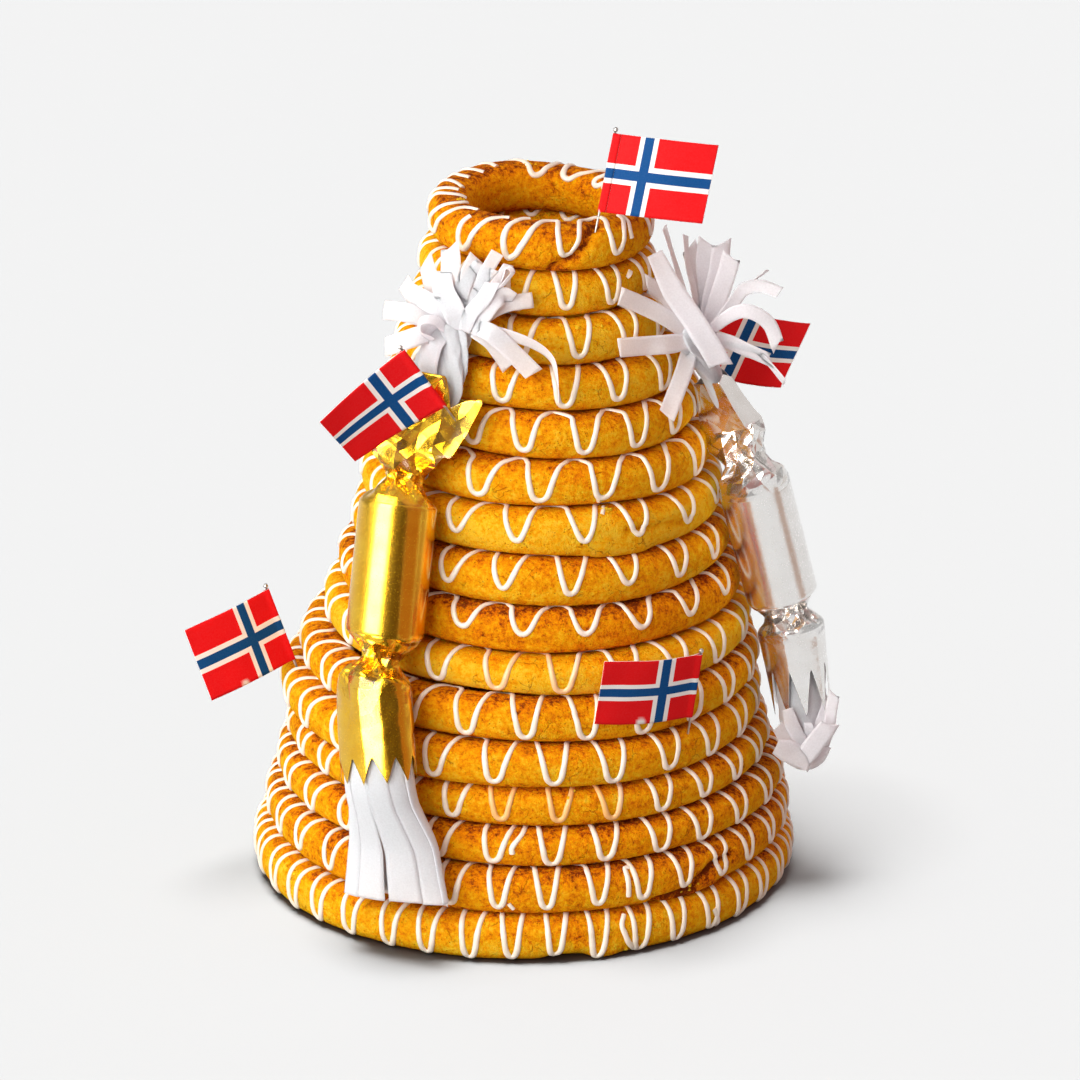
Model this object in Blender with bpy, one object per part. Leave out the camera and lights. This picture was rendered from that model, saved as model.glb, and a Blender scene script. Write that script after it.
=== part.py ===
"""Kransekake: sixteen baked almond rings stacked to a tower, dressed with paper flags and crackers.

Sizes are millimetres and heights count from the table. A place on the tower's wall is given as
an azimuth (0 at the front, positive to the right), a height and a standoff from the rings.
"""
import math
import random

import bpy
from mathutils import Vector

MM = 0.001
SHARP_EDGE = 50.0           # degrees between faces, over which an edge isn't shaded smooth

# rings from the bottom up: outer radius, height, sideways place of the centre
RINGS = (
    (115.0, 20.0, 0.0),
    (112.0, 19.0, 1.6),
    (107.0, 17.0, 2.4),
    (102.5, 16.5, 1.8),
    (102.3, 18.0, -1.2),
    (97.4, 18.2, 2.6),
    (90.4, 17.6, 5.9),
    (84.7, 19.0, 6.7),
    (80.3, 19.8, 7.5),
    (75.9, 19.8, 7.1),
    (70.7, 19.6, 7.4),
    (65.5, 18.7, 7.6),
    (60.8, 19.2, 7.4),
    (55.2, 18.9, 7.0),
    (49.2, 19.0, 5.4),
    (47.4, 20.0, 7.2),
)
ROPE_HALF_WIDTH = 9.3
ROPE_ROUNDNESS = 2.4        # exponent of the rope's outline: 2 is round, more is squarer
ROPE_SIDES = 8
RING_STEPS = 18             # facets round the smallest ring
RADIUS_PER_STEP = 6.0       # a ring wider by this has one facet more
SEAT_GAP = 0.3              # left between rings where they rest on each other
TOP_TILT = 2.9              # degrees that the top of the tower drops to the right
SEAT_WAVE = 0.45            # unevenness of the seats between rings
RING_WOBBLE = 0.6           # how far a ring is from round

FOOT_PLACE = (5.0, 2.2)     # puts the middle of the whole cake's box over the origin

PIN_RADIUS = 0.5
PIN_TIP_RADIUS = 0.12
PIN_TAPER = 2.5             # length of the pin's point
PIN_HEAD_RADIUS = 1.0
PIN_HEAD_RISE = 0.8         # from the paper's upper edge to the head
PIN_CLEARANCE = 0.3
PIN_SIDES = 6
FLAG_LENGTH = 45.0
FLAG_HEIGHT = 33.0
FLAG_THICKNESS = 0.4
FLAG_STEPS = 8

# flag: where the pin enters, its direction, how deep it goes, how high the paper starts,
# the way the paper flies, its bow, and the nodes that the pin is pushed through
FLAGS = {
    "flag_crown": {
        "foot": (32.5, 299.0, -4.7), "pin": (6.5, 7.0, 32.0), "depth": 12.0, "lift": 5.0,
        "fly": (41.2, -18.0, -0.3), "bow": -2.5, "through": ("ring_16",)},
    "flag_right": {
        "foot": (112.9, 210.0, 0.0), "pin": (13.0, 22.0, 21.0), "depth": 8.0, "lift": 3.5,
        "fly": (36.3, -26.6, -0.7), "bow": 3.0, "through": ("ring_12",)},
    "flag_left": {
        "foot": (-28.5, 227.0, 15.5), "pin": (-17.2, -7.0, 27.2), "depth": 9.0, "lift": 5.0,
        "fly": (-31.9, -19.8, -24.8), "bow": -1.5, "through": ("gold_cracker_foil",)},
    "flag_low_left": {
        "foot": (-81.5, 91.5, -1.6), "pin": (-11.0, 2.3, 31.0), "depth": 9.0, "lift": 5.0,
        "fly": (-32.4, -30.2, -7.8), "bow": 1.5, "through": ("ring_05",)},
    "flag_front": {
        "foot": (43.4, 88.0, -1.0), "pin": (3.8, -8.5, 31.6), "depth": 11.0, "lift": 7.5,
        "fly": (-40.5, -21.5, 4.0), "bow": 2.0, "through": ("ring_05",)},
}

CRACKER_SIDES = 16
CRACKER_FLUTES = 4
STALK_SIDES = 12
STRIP_WIDTH = 6.5
STRIP_THICKNESS = 0.8
STRIP_KNEE = 0.45           # where along its length a strip bends most
STRIP_ARCH = 0.16           # how far it arches out there, as a share of its length
STRIP_STEPS = (0.3, 0.65, 1.0)

# a cracker's spine runs from the end of its lower tassel up to the top of the upper one
GOLD_SPINE = (
    (-27.0, 25.0, 8.0),      # 0 end of the lower tassel
    (-28.5, 50.0, 12.0),     # 1
    (-29.6, 76.0, 18.0),     # 2 pinked edge of the foil
    (-36.4, 114.0, 21.0),    # 3 shoulder
    (-38.1, 132.0, 18.6),    # 4 lower end of the barrel
    (-41.1, 189.5, 18.4),    # 5 upper end of the barrel
    (-42.8, 198.0, 14.0),    # 6 twist
    (-43.4, 211.0, 12.0),    # 7
    (-38.5, 238.0, 9.5),     # 8 mouth of the foil
    (-36.3, 260.0, 10.0),    # 9 where the tissue bursts open
    (-35.5, 267.0, 9.5),     # 10
)
SILVER_SPINE = (
    (78.0, 50.0, 15.0),
    (78.0, 62.0, 17.0),
    (78.0, 76.0, 19.5),
    (77.0, 116.0, 18.8),
    (78.0, 128.0, 17.8),
    (74.0, 182.0, 17.8),
    (75.0, 190.0, 17.0),
    (79.0, 202.0, 13.5),
    (75.0, 228.0, 10.5),
    (68.0, 246.0, 10.5),
    (67.0, 253.0, 10.0),
)

# foil: place on the spine, half width, half depth, fluting, and the drop of the pinked points
GOLD_FOIL = (
    (2.55, 14.6, 12.0, 0.0, 0.0),
    (2.05, 16.6, 11.6, 0.0, 5.0),
    (2.0, 17.4, 12.4, 0.0, 5.0),
    (2.6, 17.2, 13.6, 0.0, 0.0),
    (2.96, 16.6, 14.4, 0.03, 0.0),
    (3.15, 12.0, 11.0, 0.12, 0.0),
    (3.45, 7.0, 6.5, 0.25, 0.0),
    (3.8, 12.0, 12.0, 0.12, 0.0),
    (4.04, 16.0, 16.0, 0.0, 0.0),
    (4.97, 16.2, 16.2, 0.0, 0.0),
    (5.35, 12.0, 11.5, 0.12, 0.0),
    (6.0, 7.5, 7.0, 0.25, 0.0),
    (6.5, 11.0, 8.0, 0.2, 0.0),
    (7.2, 17.0, 8.5, 0.1, 0.0),
    (8.0, 24.0, 6.2, 0.08, -4.0),
    (7.95, 23.0, 5.4, 0.08, -4.0),
    (7.4, 16.6, 5.4, 0.05, 0.0),
)
SILVER_FOIL = (
    (2.55, 12.2, 11.4, 0.0, 0.0),
    (2.05, 13.2, 11.6, 0.0, 5.0),
    (2.0, 14.0, 12.4, 0.0, 5.0),
    (2.6, 14.4, 13.6, 0.0, 0.0),
    (2.96, 14.8, 14.6, 0.03, 0.0),
    (3.15, 12.5, 12.0, 0.12, 0.0),
    (3.5, 9.0, 8.0, 0.25, 0.0),
    (3.85, 12.0, 12.0, 0.12, 0.0),
    (4.05, 15.0, 15.0, 0.0, 0.0),
    (4.97, 15.0, 15.0, 0.0, 0.0),
    (5.4, 13.0, 12.0, 0.15, 0.0),
    (6.0, 7.0, 7.0, 0.25, 0.0),
    (6.5, 11.0, 8.5, 0.15, 0.0),
    (7.0, 14.0, 8.5, 0.08, 0.0),
    (8.0, 9.5, 6.0, 0.08, -3.0),
    (7.95, 8.7, 5.2, 0.08, -3.0),
    (7.5, 10.2, 5.6, 0.05, 0.0),
)
GOLD_TAIL = (
    (0.1, 21.0, 6.0, 0.14, 4.0),
    (1.0, 18.6, 8.0, 0.1, 0.0),
    (1.7, 15.6, 9.4, 0.03, 0.0),
    (2.05, 15.4, 10.2, 0.0, 0.0),
    (2.5, 13.4, 10.6, 0.0, 0.0),
)
SILVER_TAIL = (
    (0.1, 6.0, 4.0, 0.1, 3.0),
    (0.7, 13.0, 9.0, 0.16, 0.0),
    (1.2, 14.6, 11.0, 0.12, 0.0),
    (1.6, 12.0, 10.4, 0.04, 0.0),
    (2.05, 12.0, 10.2, 0.0, 0.0),
    (2.5, 11.2, 10.2, 0.0, 0.0),
)
# tissue stalk: place on the spine, half width, half depth
GOLD_STALK = ((7.5, 12.5, 3.6), (8.0, 13.0, 3.8), (8.55, 10.5, 4.2), (9.0, 10.5, 5.5), (9.7, 7.0, 4.5))
SILVER_STALK = ((7.55, 7.6, 4.0), (8.0, 7.2, 4.0), (8.6, 8.0, 4.5), (9.0, 9.0, 6.0), (9.7, 6.5, 4.5))
# where the paper strips of an upper tassel end
GOLD_STRIPS = (
    (-47.0, 286.0, 8.0),
    (-32.0, 287.0, 7.0),
    (-19.0, 287.0, 7.0),
    (-10.0, 276.0, 6.0),
    (-4.0, 262.0, 6.0),
    (-4.0, 240.0, 7.0),
    (-52.0, 282.0, 20.0),
    (-59.0, 270.0, 27.0),
    (-64.0, 250.0, 22.0),
)
SILVER_STRIPS = (
    (36.0, 265.0, 6.0),
    (31.0, 246.0, 6.0),
    (50.0, 221.0, 6.0),
    (56.0, 280.0, 8.0),
    (70.0, 287.0, 9.0),
    (80.0, 282.0, 24.0),
    (79.0, 270.0, 44.0),
    (84.0, 255.0, 46.0),
    (80.0, 232.0, 40.0),
)

COLOURS = {                 # linear colour, roughness, metallic
    "dough": ((0.72, 0.33, 0.05), 0.7, 0.0),
    "gold_foil": ((0.95, 0.62, 0.08), 0.22, 1.0),
    "silver_foil": ((0.86, 0.86, 0.87), 0.22, 1.0),
    "tissue": ((0.86, 0.84, 0.87), 0.75, 0.0),
    "flag_paper": ((0.76, 0.02, 0.02), 0.55, 0.0),
    "pin_wire": ((0.55, 0.53, 0.5), 0.3, 1.0),
}


def clear_scene():
    for old in list(bpy.data.objects):
        bpy.data.objects.remove(old, do_unlink=True)


def material(name):
    found = bpy.data.materials.get(name)
    if found:
        return found
    colour, roughness, metallic = COLOURS[name]
    made = bpy.data.materials.new(name)
    made.use_nodes = True
    shader = made.node_tree.nodes["Principled BSDF"]
    shader.inputs["Base Color"].default_value = (*colour, 1.0)
    shader.inputs["Roughness"].default_value = roughness
    shader.inputs["Metallic"].default_value = metallic
    return made


def add_object(name, points, faces, finish, foot, smooth=True):
    """One object made from points in millimetres."""
    mesh = bpy.data.meshes.new(name)
    mesh.from_pydata([Vector(point) * MM for point in points], [], faces)
    if smooth:
        mesh.shade_smooth()
        mesh.set_sharp_from_angle(angle=math.radians(SHARP_EDGE))
    mesh.materials.append(material(finish))
    made = bpy.data.objects.new(name, mesh)
    made.parent = foot
    bpy.context.scene.collection.objects.link(made)
    return made


def tube_faces(rows, sides):
    """Quads between the rows of a tube, and an end face on its first and last row."""
    faces = []
    for row in range(rows - 1):
        for side in range(sides):
            after = (side + 1) % sides
            low = row * sides
            high = low + sides
            faces.append((low + side, low + after, high + after, high + side))
    faces.append(tuple(reversed(range(sides))))
    faces.append(tuple(range((rows - 1) * sides, rows * sides)))
    return faces


def signed_power(value, power):
    return math.copysign(abs(value) ** power, value)


def rope_outline():
    """The rope's cross-section as (across, up) pairs that reach 1 each way, flat on all four sides."""
    turns = [2.0 * math.pi * (side + 0.5) / ROPE_SIDES for side in range(ROPE_SIDES)]
    power = 2.0 / ROPE_ROUNDNESS
    reach = abs(math.cos(turns[0])) ** power
    return [(signed_power(math.cos(turn), power) / reach,
             signed_power(math.sin(turn), power) / reach) for turn in turns]


def seat_heights():
    """Heights of the table and of the seats between rings, up to the top of the tower."""
    heights = [0.0]
    for _, height, _ in RINGS:
        heights.append(heights[-1] + height)
    return heights


class Seat:
    """The surface on which one ring rests on the next: level, tilted and slightly wavy."""

    def __init__(self, number, height, centre, dice):
        share = number / len(RINGS)
        self.height = height
        self.centre = centre
        self.fall_x = math.tan(math.radians(TOP_TILT * math.sqrt(share)))
        self.fall_y = math.tan(math.radians(dice.uniform(-0.4, 0.4))) if number else 0.0
        self.wave = SEAT_WAVE if number else 0.0
        self.phases = (dice.uniform(0.0, 2.0 * math.pi), dice.uniform(0.0, 2.0 * math.pi))

    def at(self, x, y):
        across = x - self.centre
        turn = math.atan2(y, across)
        wave = math.cos(3.0 * turn + self.phases[0]) + 0.5 * math.cos(5.0 * turn + self.phases[1])
        return self.height - across * self.fall_x - y * self.fall_y + self.wave * wave


def make_seats(heights, dice):
    centres = [place for _, _, place in RINGS]
    seats = []
    for number, height in enumerate(heights):
        below = centres[max(number - 1, 0)]
        above = centres[min(number, len(RINGS) - 1)]
        seats.append(Seat(number, height, 0.5 * (below + above), dice))
    return seats


def make_ring(number, under, over, foot, dice):
    """One ring of rope that fills the room between the seat under it and the seat over it."""
    radius, _, centre = RINGS[number]
    steps = RING_STEPS + round((radius - RINGS[-1][0]) / RADIUS_PER_STEP)
    phases = (dice.uniform(0.0, 2.0 * math.pi), dice.uniform(0.0, 2.0 * math.pi))
    outline = rope_outline()
    bottom_gap = 0.0 if number == 0 else 0.5 * SEAT_GAP
    points = []
    for step in range(steps):
        turn = 2.0 * math.pi * step / steps
        wobble = math.cos(2.0 * turn + phases[0]) + 0.6 * math.cos(3.0 * turn + phases[1])
        middle = radius - ROPE_HALF_WIDTH + RING_WOBBLE * wobble
        for across, up in outline:
            reach = middle + ROPE_HALF_WIDTH * across
            x = centre + reach * math.cos(turn)
            y = reach * math.sin(turn)
            low = under.at(x, y) + bottom_gap
            high = over.at(x, y) - 0.5 * SEAT_GAP
            points.append((x, y, low + (high - low) * 0.5 * (1.0 + up)))
    faces = []
    for step in range(steps):
        here = step * ROPE_SIDES
        ahead = (step + 1) % steps * ROPE_SIDES
        for side in range(ROPE_SIDES):
            after = (side + 1) % ROPE_SIDES
            faces.append((here + side, ahead + side, ahead + after, here + after))
    return add_object(f"ring_{number + 1:02d}", points, faces, "dough", foot)


def blend(low, high, share):
    return low + (high - low) * share


def wall_point(azimuth, height, standoff, heights):
    """A point on the tower's wall, moved out from it by the standoff."""
    middles = [0.5 * (low + high) for low, high in zip(heights, heights[1:])]
    height_in = min(max(height, middles[0]), middles[-1])
    below = max(index for index, middle in enumerate(middles) if middle <= height_in)
    above = min(below + 1, len(RINGS) - 1)
    room = middles[above] - middles[below]
    share = (height_in - middles[below]) / room if room else 0.0
    radius = blend(RINGS[below][0], RINGS[above][0], share)
    centre = blend(RINGS[below][2], RINGS[above][2], share)
    turn = math.radians(azimuth)
    reach = radius + standoff
    return Vector((centre + reach * math.sin(turn), -reach * math.cos(turn), height))


def square_to(direction, guide):
    """Two unit vectors square to the direction, the second one nearest to the guide."""
    across = guide.cross(direction).normalized()
    return across, direction.cross(across).normalized()


def turned(name, start, direction, profile, sides, finish, foot):
    """A turned piece: the profile lists distances along the direction and radii."""
    along = direction.normalized()
    first, second = square_to(along, Vector((0.3, 1.0, 0.1)))
    points = []
    for distance, radius in profile:
        for side in range(sides):
            turn = 2.0 * math.pi * side / sides
            ray = first * math.cos(turn) + second * math.sin(turn)
            points.append(start + along * distance + ray * radius)
    return add_object(name, points, tube_faces(len(profile), sides), finish, foot)


def make_flag(name, spec, heights, foot):
    """A paper flag on a steel pin, and the cutter for the holes that the pin makes."""
    entry = wall_point(*spec["foot"], heights)
    pin = Vector(spec["pin"]).normalized()
    top = spec["lift"] + FLAG_HEIGHT + PIN_HEAD_RISE
    depth = spec["depth"]
    head = [(top + PIN_HEAD_RADIUS * (1.0 - math.cos(turn)), PIN_HEAD_RADIUS * math.sin(turn))
            for turn in (0.25 * math.pi, 0.5 * math.pi, 0.85 * math.pi)]
    profile = [(-depth, PIN_TIP_RADIUS), (PIN_TAPER - depth, PIN_RADIUS), (top, PIN_RADIUS)] + head
    turned(name + "_pin", entry, pin, profile, PIN_SIDES, "pin_wire", foot)

    wide = PIN_RADIUS + PIN_CLEARANCE
    hole = [(-depth - PIN_CLEARANCE, wide), (spec["lift"], wide)]
    cutter = turned(name + "_hole", entry, pin, hole, PIN_SIDES, "pin_wire", foot)
    cutter.hide_render = True
    cutter.display_type = "WIRE"
    for node in spec["through"]:
        cut = bpy.data.objects[node].modifiers.new(name + "_hole", "BOOLEAN")
        cut.operation = "DIFFERENCE"
        cut.object = cutter

    fly = Vector(spec["fly"]).normalized()
    face = pin.cross(fly).normalized()
    points = []
    for side in (-0.5, 0.5):
        for step in range(FLAG_STEPS + 1):
            share = step / FLAG_STEPS
            bend = spec["bow"] * math.sin(math.pi * share) + side * FLAG_THICKNESS
            out = PIN_RADIUS + PIN_CLEARANCE + FLAG_LENGTH * share
            for rise in (spec["lift"], spec["lift"] + FLAG_HEIGHT):
                points.append(entry + pin * rise + fly * out + face * bend)
    back = 2 * (FLAG_STEPS + 1)
    faces = [(0, 1, back + 1, back), (back - 2, 2 * back - 2, 2 * back - 1, back - 1)]
    for step in range(FLAG_STEPS):
        low = 2 * step
        faces.append((low, low + 2, low + 3, low + 1))
        faces.append((back + low, back + low + 1, back + low + 3, back + low + 2))
        faces.append((low, back + low, back + low + 2, low + 2))
        faces.append((low + 1, low + 3, back + low + 3, back + low + 1))
    add_object(name + "_paper", points, faces, "flag_paper", foot, smooth=False)


def spine_frame(spine, place):
    """Point, side, outward and upward directions at a place along a cracker's spine."""
    index = min(int(place), len(spine) - 2)
    point = spine[index].lerp(spine[index + 1], place - index)
    before = spine[max(int(place - 0.35), 0)]
    after = spine[min(int(place + 0.35) + 1, len(spine) - 1)]
    up = (after - before).normalized()
    middle = Vector((RINGS[-1][2], 0.0, point.z))
    side, out = square_to(up, point - middle)
    return point, side, out, up


def loft(spine, stations, sides):
    """Rows of points around the spine; odd points hang lower where a row is pinked."""
    points = []
    for place, half_width, half_depth, fluting, drop in stations:
        point, side, out, up = spine_frame(spine, place)
        for index in range(sides):
            turn = 2.0 * math.pi * index / sides
            swell = 1.0 + fluting * math.cos(CRACKER_FLUTES * turn)
            hang = -drop * (index % 2)
            points.append(point + side * (half_width * swell * math.cos(turn))
                          + out * (half_depth * swell * math.sin(turn)) + up * hang)
    return points


def make_wrapped(name, spine, stations, finish, foot):
    points = loft(spine, stations, CRACKER_SIDES)
    faces = tube_faces(len(stations), CRACKER_SIDES)
    return add_object(name, points, faces, finish, foot)


def grow_strip(points, faces, seed, start, end, spine_out):
    """Draws the seed face out to a bent paper strip that ends at the given point."""
    arch = STRIP_ARCH * (end - start).length + 2.0
    knee = start.lerp(end, STRIP_KNEE) + spine_out * arch
    last = list(seed)
    centre = start
    for share in STRIP_STEPS:
        ahead = start.lerp(knee, share).lerp(knee.lerp(end, share), share)
        heading = (ahead - centre).normalized()
        across, thick = square_to(heading, spine_out)
        corners = [across * (STRIP_WIDTH * 0.5 * wide) + thick * (STRIP_THICKNESS * 0.5 * deep)
                   for wide, deep in ((-1, -1), (1, -1), (1, 1), (-1, 1))]
        rays = [points[index] - centre for index in last]
        shift = max(range(4), key=lambda turn: sum(
            rays[index].dot(corners[(index + turn) % 4]) for index in range(4)))
        new = []
        for index in range(4):
            new.append(len(points))
            points.append(ahead + corners[(index + shift) % 4])
        for index in range(4):
            after = (index + 1) % 4
            faces.append((last[index], last[after], new[after], new[index]))
        last = new
        centre = ahead
    faces.append(tuple(last))


def face_middle(points, face):
    return sum((points[index] for index in face), Vector()) / len(face)


def squareness(points, face, end):
    """How squarely a face looks at a point: 1 is head on."""
    first, second, _, last = (points[index] for index in face)
    normal = (second - first).cross(last - first).normalized()
    return normal.dot((end - face_middle(points, face)).normalized())


def make_burst(name, spine, stations, strips, foot):
    """The upper tassel: a stalk of tissue whose top opens into paper strips."""
    points = loft(spine, [(*station, 0.0, 0.0) for station in stations], STALK_SIDES)
    faces = tube_faces(len(stations), STALK_SIDES)
    seeds = faces[2 * STALK_SIDES:4 * STALK_SIDES]
    _, _, spine_out, _ = spine_frame(spine, 9.0)
    for end in strips:
        looks = [squareness(points, face, end) for face in seeds]
        seed = seeds.pop(looks.index(max(looks)))
        faces.remove(seed)
        grow_strip(points, faces, seed, face_middle(points, seed), end, spine_out)
    return add_object(name, points, faces, "tissue", foot, smooth=False)


def make_cracker(name, spine_places, foil, tail, stalk, strips, finish, heights, foot):
    spine = [wall_point(*place, heights) for place in spine_places]
    ends = [wall_point(*place, heights) for place in strips]
    make_wrapped(name + "_foil", spine, foil, finish, foot)
    make_wrapped(name + "_tail", spine, tail, "tissue", foot)
    make_burst(name + "_burst", spine, stalk, ends, foot)


def main():
    clear_scene()
    dice = random.Random(16)
    foot = bpy.data.objects.new("cake_foot", None)
    foot.location = (FOOT_PLACE[0] * MM, FOOT_PLACE[1] * MM, 0.0)
    bpy.context.scene.collection.objects.link(foot)
    heights = seat_heights()
    seats = make_seats(heights, dice)
    for number in range(len(RINGS)):
        make_ring(number, seats[number], seats[number + 1], foot, dice)
    make_cracker("gold_cracker", GOLD_SPINE, GOLD_FOIL, GOLD_TAIL, GOLD_STALK, GOLD_STRIPS,
                 "gold_foil", heights, foot)
    make_cracker("silver_cracker", SILVER_SPINE, SILVER_FOIL, SILVER_TAIL, SILVER_STALK,
                 SILVER_STRIPS, "silver_foil", heights, foot)
    for name, spec in FLAGS.items():
        make_flag(name, spec, heights, foot)
    bpy.context.view_layer.update()


main()
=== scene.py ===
# Kransekake: a tower of baked almond rings, piped with icing and dressed with paper flags
# and two party crackers. Lengths are in millimetres until a mesh is made.
import math
import random

import bpy
import numpy as np
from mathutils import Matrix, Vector


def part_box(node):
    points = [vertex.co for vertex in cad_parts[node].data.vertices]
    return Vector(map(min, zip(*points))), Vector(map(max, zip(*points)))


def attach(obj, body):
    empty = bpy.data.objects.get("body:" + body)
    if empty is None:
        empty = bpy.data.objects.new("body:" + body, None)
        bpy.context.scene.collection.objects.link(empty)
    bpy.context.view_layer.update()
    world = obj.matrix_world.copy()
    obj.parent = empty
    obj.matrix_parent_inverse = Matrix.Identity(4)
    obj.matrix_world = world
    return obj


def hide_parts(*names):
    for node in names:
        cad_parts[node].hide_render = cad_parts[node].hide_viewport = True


mm = 0.001
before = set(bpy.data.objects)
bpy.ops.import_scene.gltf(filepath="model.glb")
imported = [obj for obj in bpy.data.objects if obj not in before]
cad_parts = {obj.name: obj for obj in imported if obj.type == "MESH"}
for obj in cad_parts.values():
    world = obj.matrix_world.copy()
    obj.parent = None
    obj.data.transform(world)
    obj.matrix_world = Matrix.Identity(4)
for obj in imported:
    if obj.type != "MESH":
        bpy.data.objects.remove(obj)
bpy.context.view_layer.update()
scene = bpy.context.scene
scene.view_settings.view_transform = "Standard"
print("frame loaded:", len(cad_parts), "nodes")


def colour(hexCode):
    # an sRGB hex code as linear red, green, blue and alpha
    parts = [int(hexCode[at:at + 2], 16) / 255 for at in (1, 3, 5)]
    return [part / 12.92 if part <= 0.04045 else ((part + 0.055) / 1.055) ** 2.4 for part in parts] + [1.0]


def put(tree, kind, settings=None, inputs=None):
    # adds a node, sets it up, and links any input that is given as a node or as (node, output)
    made = tree.nodes.new(kind)
    for name, value in (settings or {}).items():
        setattr(made, name, value)
    for name, value in (inputs or {}).items():
        source = value if isinstance(value, tuple) and isinstance(value[0], bpy.types.Node) else (value, 0)
        if isinstance(source[0], bpy.types.Node):
            tree.links.new(source[0].outputs[source[1]], made.inputs[name])
        else:
            made.inputs[name].default_value = value
    return made


def newMaterial(name, settings):
    # a material with its Principled shader set up, ready for more nodes
    made = bpy.data.materials.new(name)
    made.use_nodes = True
    shader = made.node_tree.nodes["Principled BSDF"]
    for socket, value in settings.items():
        shader.inputs[socket].default_value = value
    return made, made.node_tree, shader


def ramp(tree, value, stops):
    # a colour ramp: stops are (position, hex code)
    made = put(tree, "ShaderNodeValToRGB", None, {"Fac": value})
    while len(made.color_ramp.elements) < len(stops):
        made.color_ramp.elements.new(0.5)
    for element, (position, code) in zip(made.color_ramp.elements, stops):
        element.position = position
        element.color = colour(code)
    return made


def newTree(name, sockets):
    # an empty Geometry Nodes tree with named inputs: (name, socket kind, value)
    tree = bpy.data.node_groups.new(name, "GeometryNodeTree")
    tree.interface.new_socket("Geometry", in_out="INPUT", socket_type="NodeSocketGeometry")
    tree.interface.new_socket("Geometry", in_out="OUTPUT", socket_type="NodeSocketGeometry")
    for label, kind, value in sockets:
        socket = tree.interface.new_socket(label, in_out="INPUT", socket_type="NodeSocket" + kind)
        if value is not None:
            socket.default_value = value
    return tree, tree.nodes.new("NodeGroupInput")


def runTree(source, tree, values, name):
    # the tree's result on the source object, as a plain mesh object in its own place
    modifier = source.modifiers.new(tree.name, "NODES")
    modifier.node_group = tree
    for item in tree.interface.items_tree:
        if item.in_out == "INPUT" and item.name in values:
            modifier[item.identifier] = values[item.name]
    bpy.context.view_layer.update()
    mesh = bpy.data.meshes.new_from_object(source.evaluated_get(bpy.context.evaluated_depsgraph_get()))
    source.modifiers.remove(modifier)
    mesh.name = name
    made = bpy.data.objects.new(name, mesh)
    scene.collection.objects.link(made)
    bpy.data.objects.remove(source)
    return made


def meshObject(name, points, edges, faces, material=None):
    mesh = bpy.data.meshes.new(name)
    mesh.from_pydata([Vector(point) for point in points], edges, faces)
    mesh.update()
    if material:
        mesh.materials.append(material)
    made = bpy.data.objects.new(name, mesh)
    scene.collection.objects.link(made)
    return made


def floatAttribute(thing, name, values):
    made = thing.data.attributes.new(name, "FLOAT", "POINT")
    made.data.foreach_set("value", np.asarray(values, dtype=np.float32))


def keep(piece, slot, *nodes):
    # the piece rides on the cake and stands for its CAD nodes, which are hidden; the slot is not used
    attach(piece, "root")
    if nodes:
        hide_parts(*nodes)
    return piece


camera = {
    "lookAt": (11.7, 2.2, 145.0),
    "distance": 3200.0,
    "elevation": 21.48,
    "lens": 251.97,
}

studio = {
    # the floor's grey as it is seen and as the cake is lit by it, and a light that only the floor takes
    "floor": "#787979", "floorBounce": "#555555", "floorLight": 13.2,
    "floorLamp": (-75.0, 84.5, 30.0),       # where that light stands: azimuth, elevation; and its spread
    "floorSize": 16.0,                      # metres
    "lampHeight": 0.15,                     # the height that all lamps look at, in metres
    # softboxes: azimuth and elevation; distance, width and height in metres; power in watts
    "softboxes": {"key softbox": (-40.0, 25.0, 1.5, 1.35, 1.75, 33.0),
                  "wide softbox": (-74.0, 28.0, 1.9, 1.3, 1.8, 7.0)},
    # brightness of the room: all round, and added on the left, overhead and behind
    "room": 0.12, "left": 0.2, "overhead": 0.46, "behind": 0.2,
    "warm": "#A65E56",          # and what the warm side of the room adds on the right
    # cards that are seen in reflections alone: azimuth, distance, width, foot, top, colour and strength
    "cards": {"brown card": (73.0, 480.0, 130.0, 2.0, 520.0, "#B89C8C", 1.0),
              "pale card": (118.0, 1300.0, 1800.0, 0.0, 1300.0, "#F4EFEC", 0.82),
              "olive card": (-16.0, 136.0, 46.0, 24.0, 240.0, "#5A4A34", 1.0),
              "tan card": (14.0, 134.0, 84.0, 24.0, 205.0, "#B8835C", 1.0),
              "bright card": (-40.0, 1400.0, 960.0, 60.0, 1500.0, "#FFF6E8", 21.0)},
}


def direction(azimuth, elevation):
    # a unit vector; azimuth 0 is towards the camera and grows to the right
    turn, rise = math.radians(azimuth), math.radians(elevation)
    return Vector((math.sin(turn) * math.cos(rise), -math.cos(turn) * math.cos(rise), math.sin(rise)))


def setCamera():
    data = bpy.data.cameras.new("camera")
    data.lens = camera["lens"]
    data.sensor_width = 36.0
    data.clip_end = 50.0
    made = bpy.data.objects.new("camera", data)
    back = direction(0.0, camera["elevation"])
    made.location = (Vector(camera["lookAt"]) + back * camera["distance"]) * mm
    made.rotation_euler = (-back).to_track_quat("-Z", "Y").to_euler()
    scene.collection.objects.link(made)
    scene.camera = made


def addLight(name, kind, azimuth, elevation, distance, floor, floorOnly):
    # a lamp that looks at the cake's middle, from a distance in metres; the floor is either all that it
    # lights or left out
    data = bpy.data.lights.new(name, kind)
    lamp = bpy.data.objects.new(name, data)
    away = direction(azimuth, elevation)
    lamp.location = away * distance + Vector((0.0, 0.0, studio["lampHeight"]))
    lamp.rotation_euler = away.to_track_quat("Z", "Y").to_euler()
    lamp.visible_camera = False
    scene.collection.objects.link(lamp)
    reach = bpy.data.collections.new(name + " reach")
    reach.objects.link(floor)
    reach.collection_objects[0].light_linking.link_state = "INCLUDE" if floorOnly else "EXCLUDE"
    lamp.light_linking.receiver_collection = reach
    return data


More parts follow.
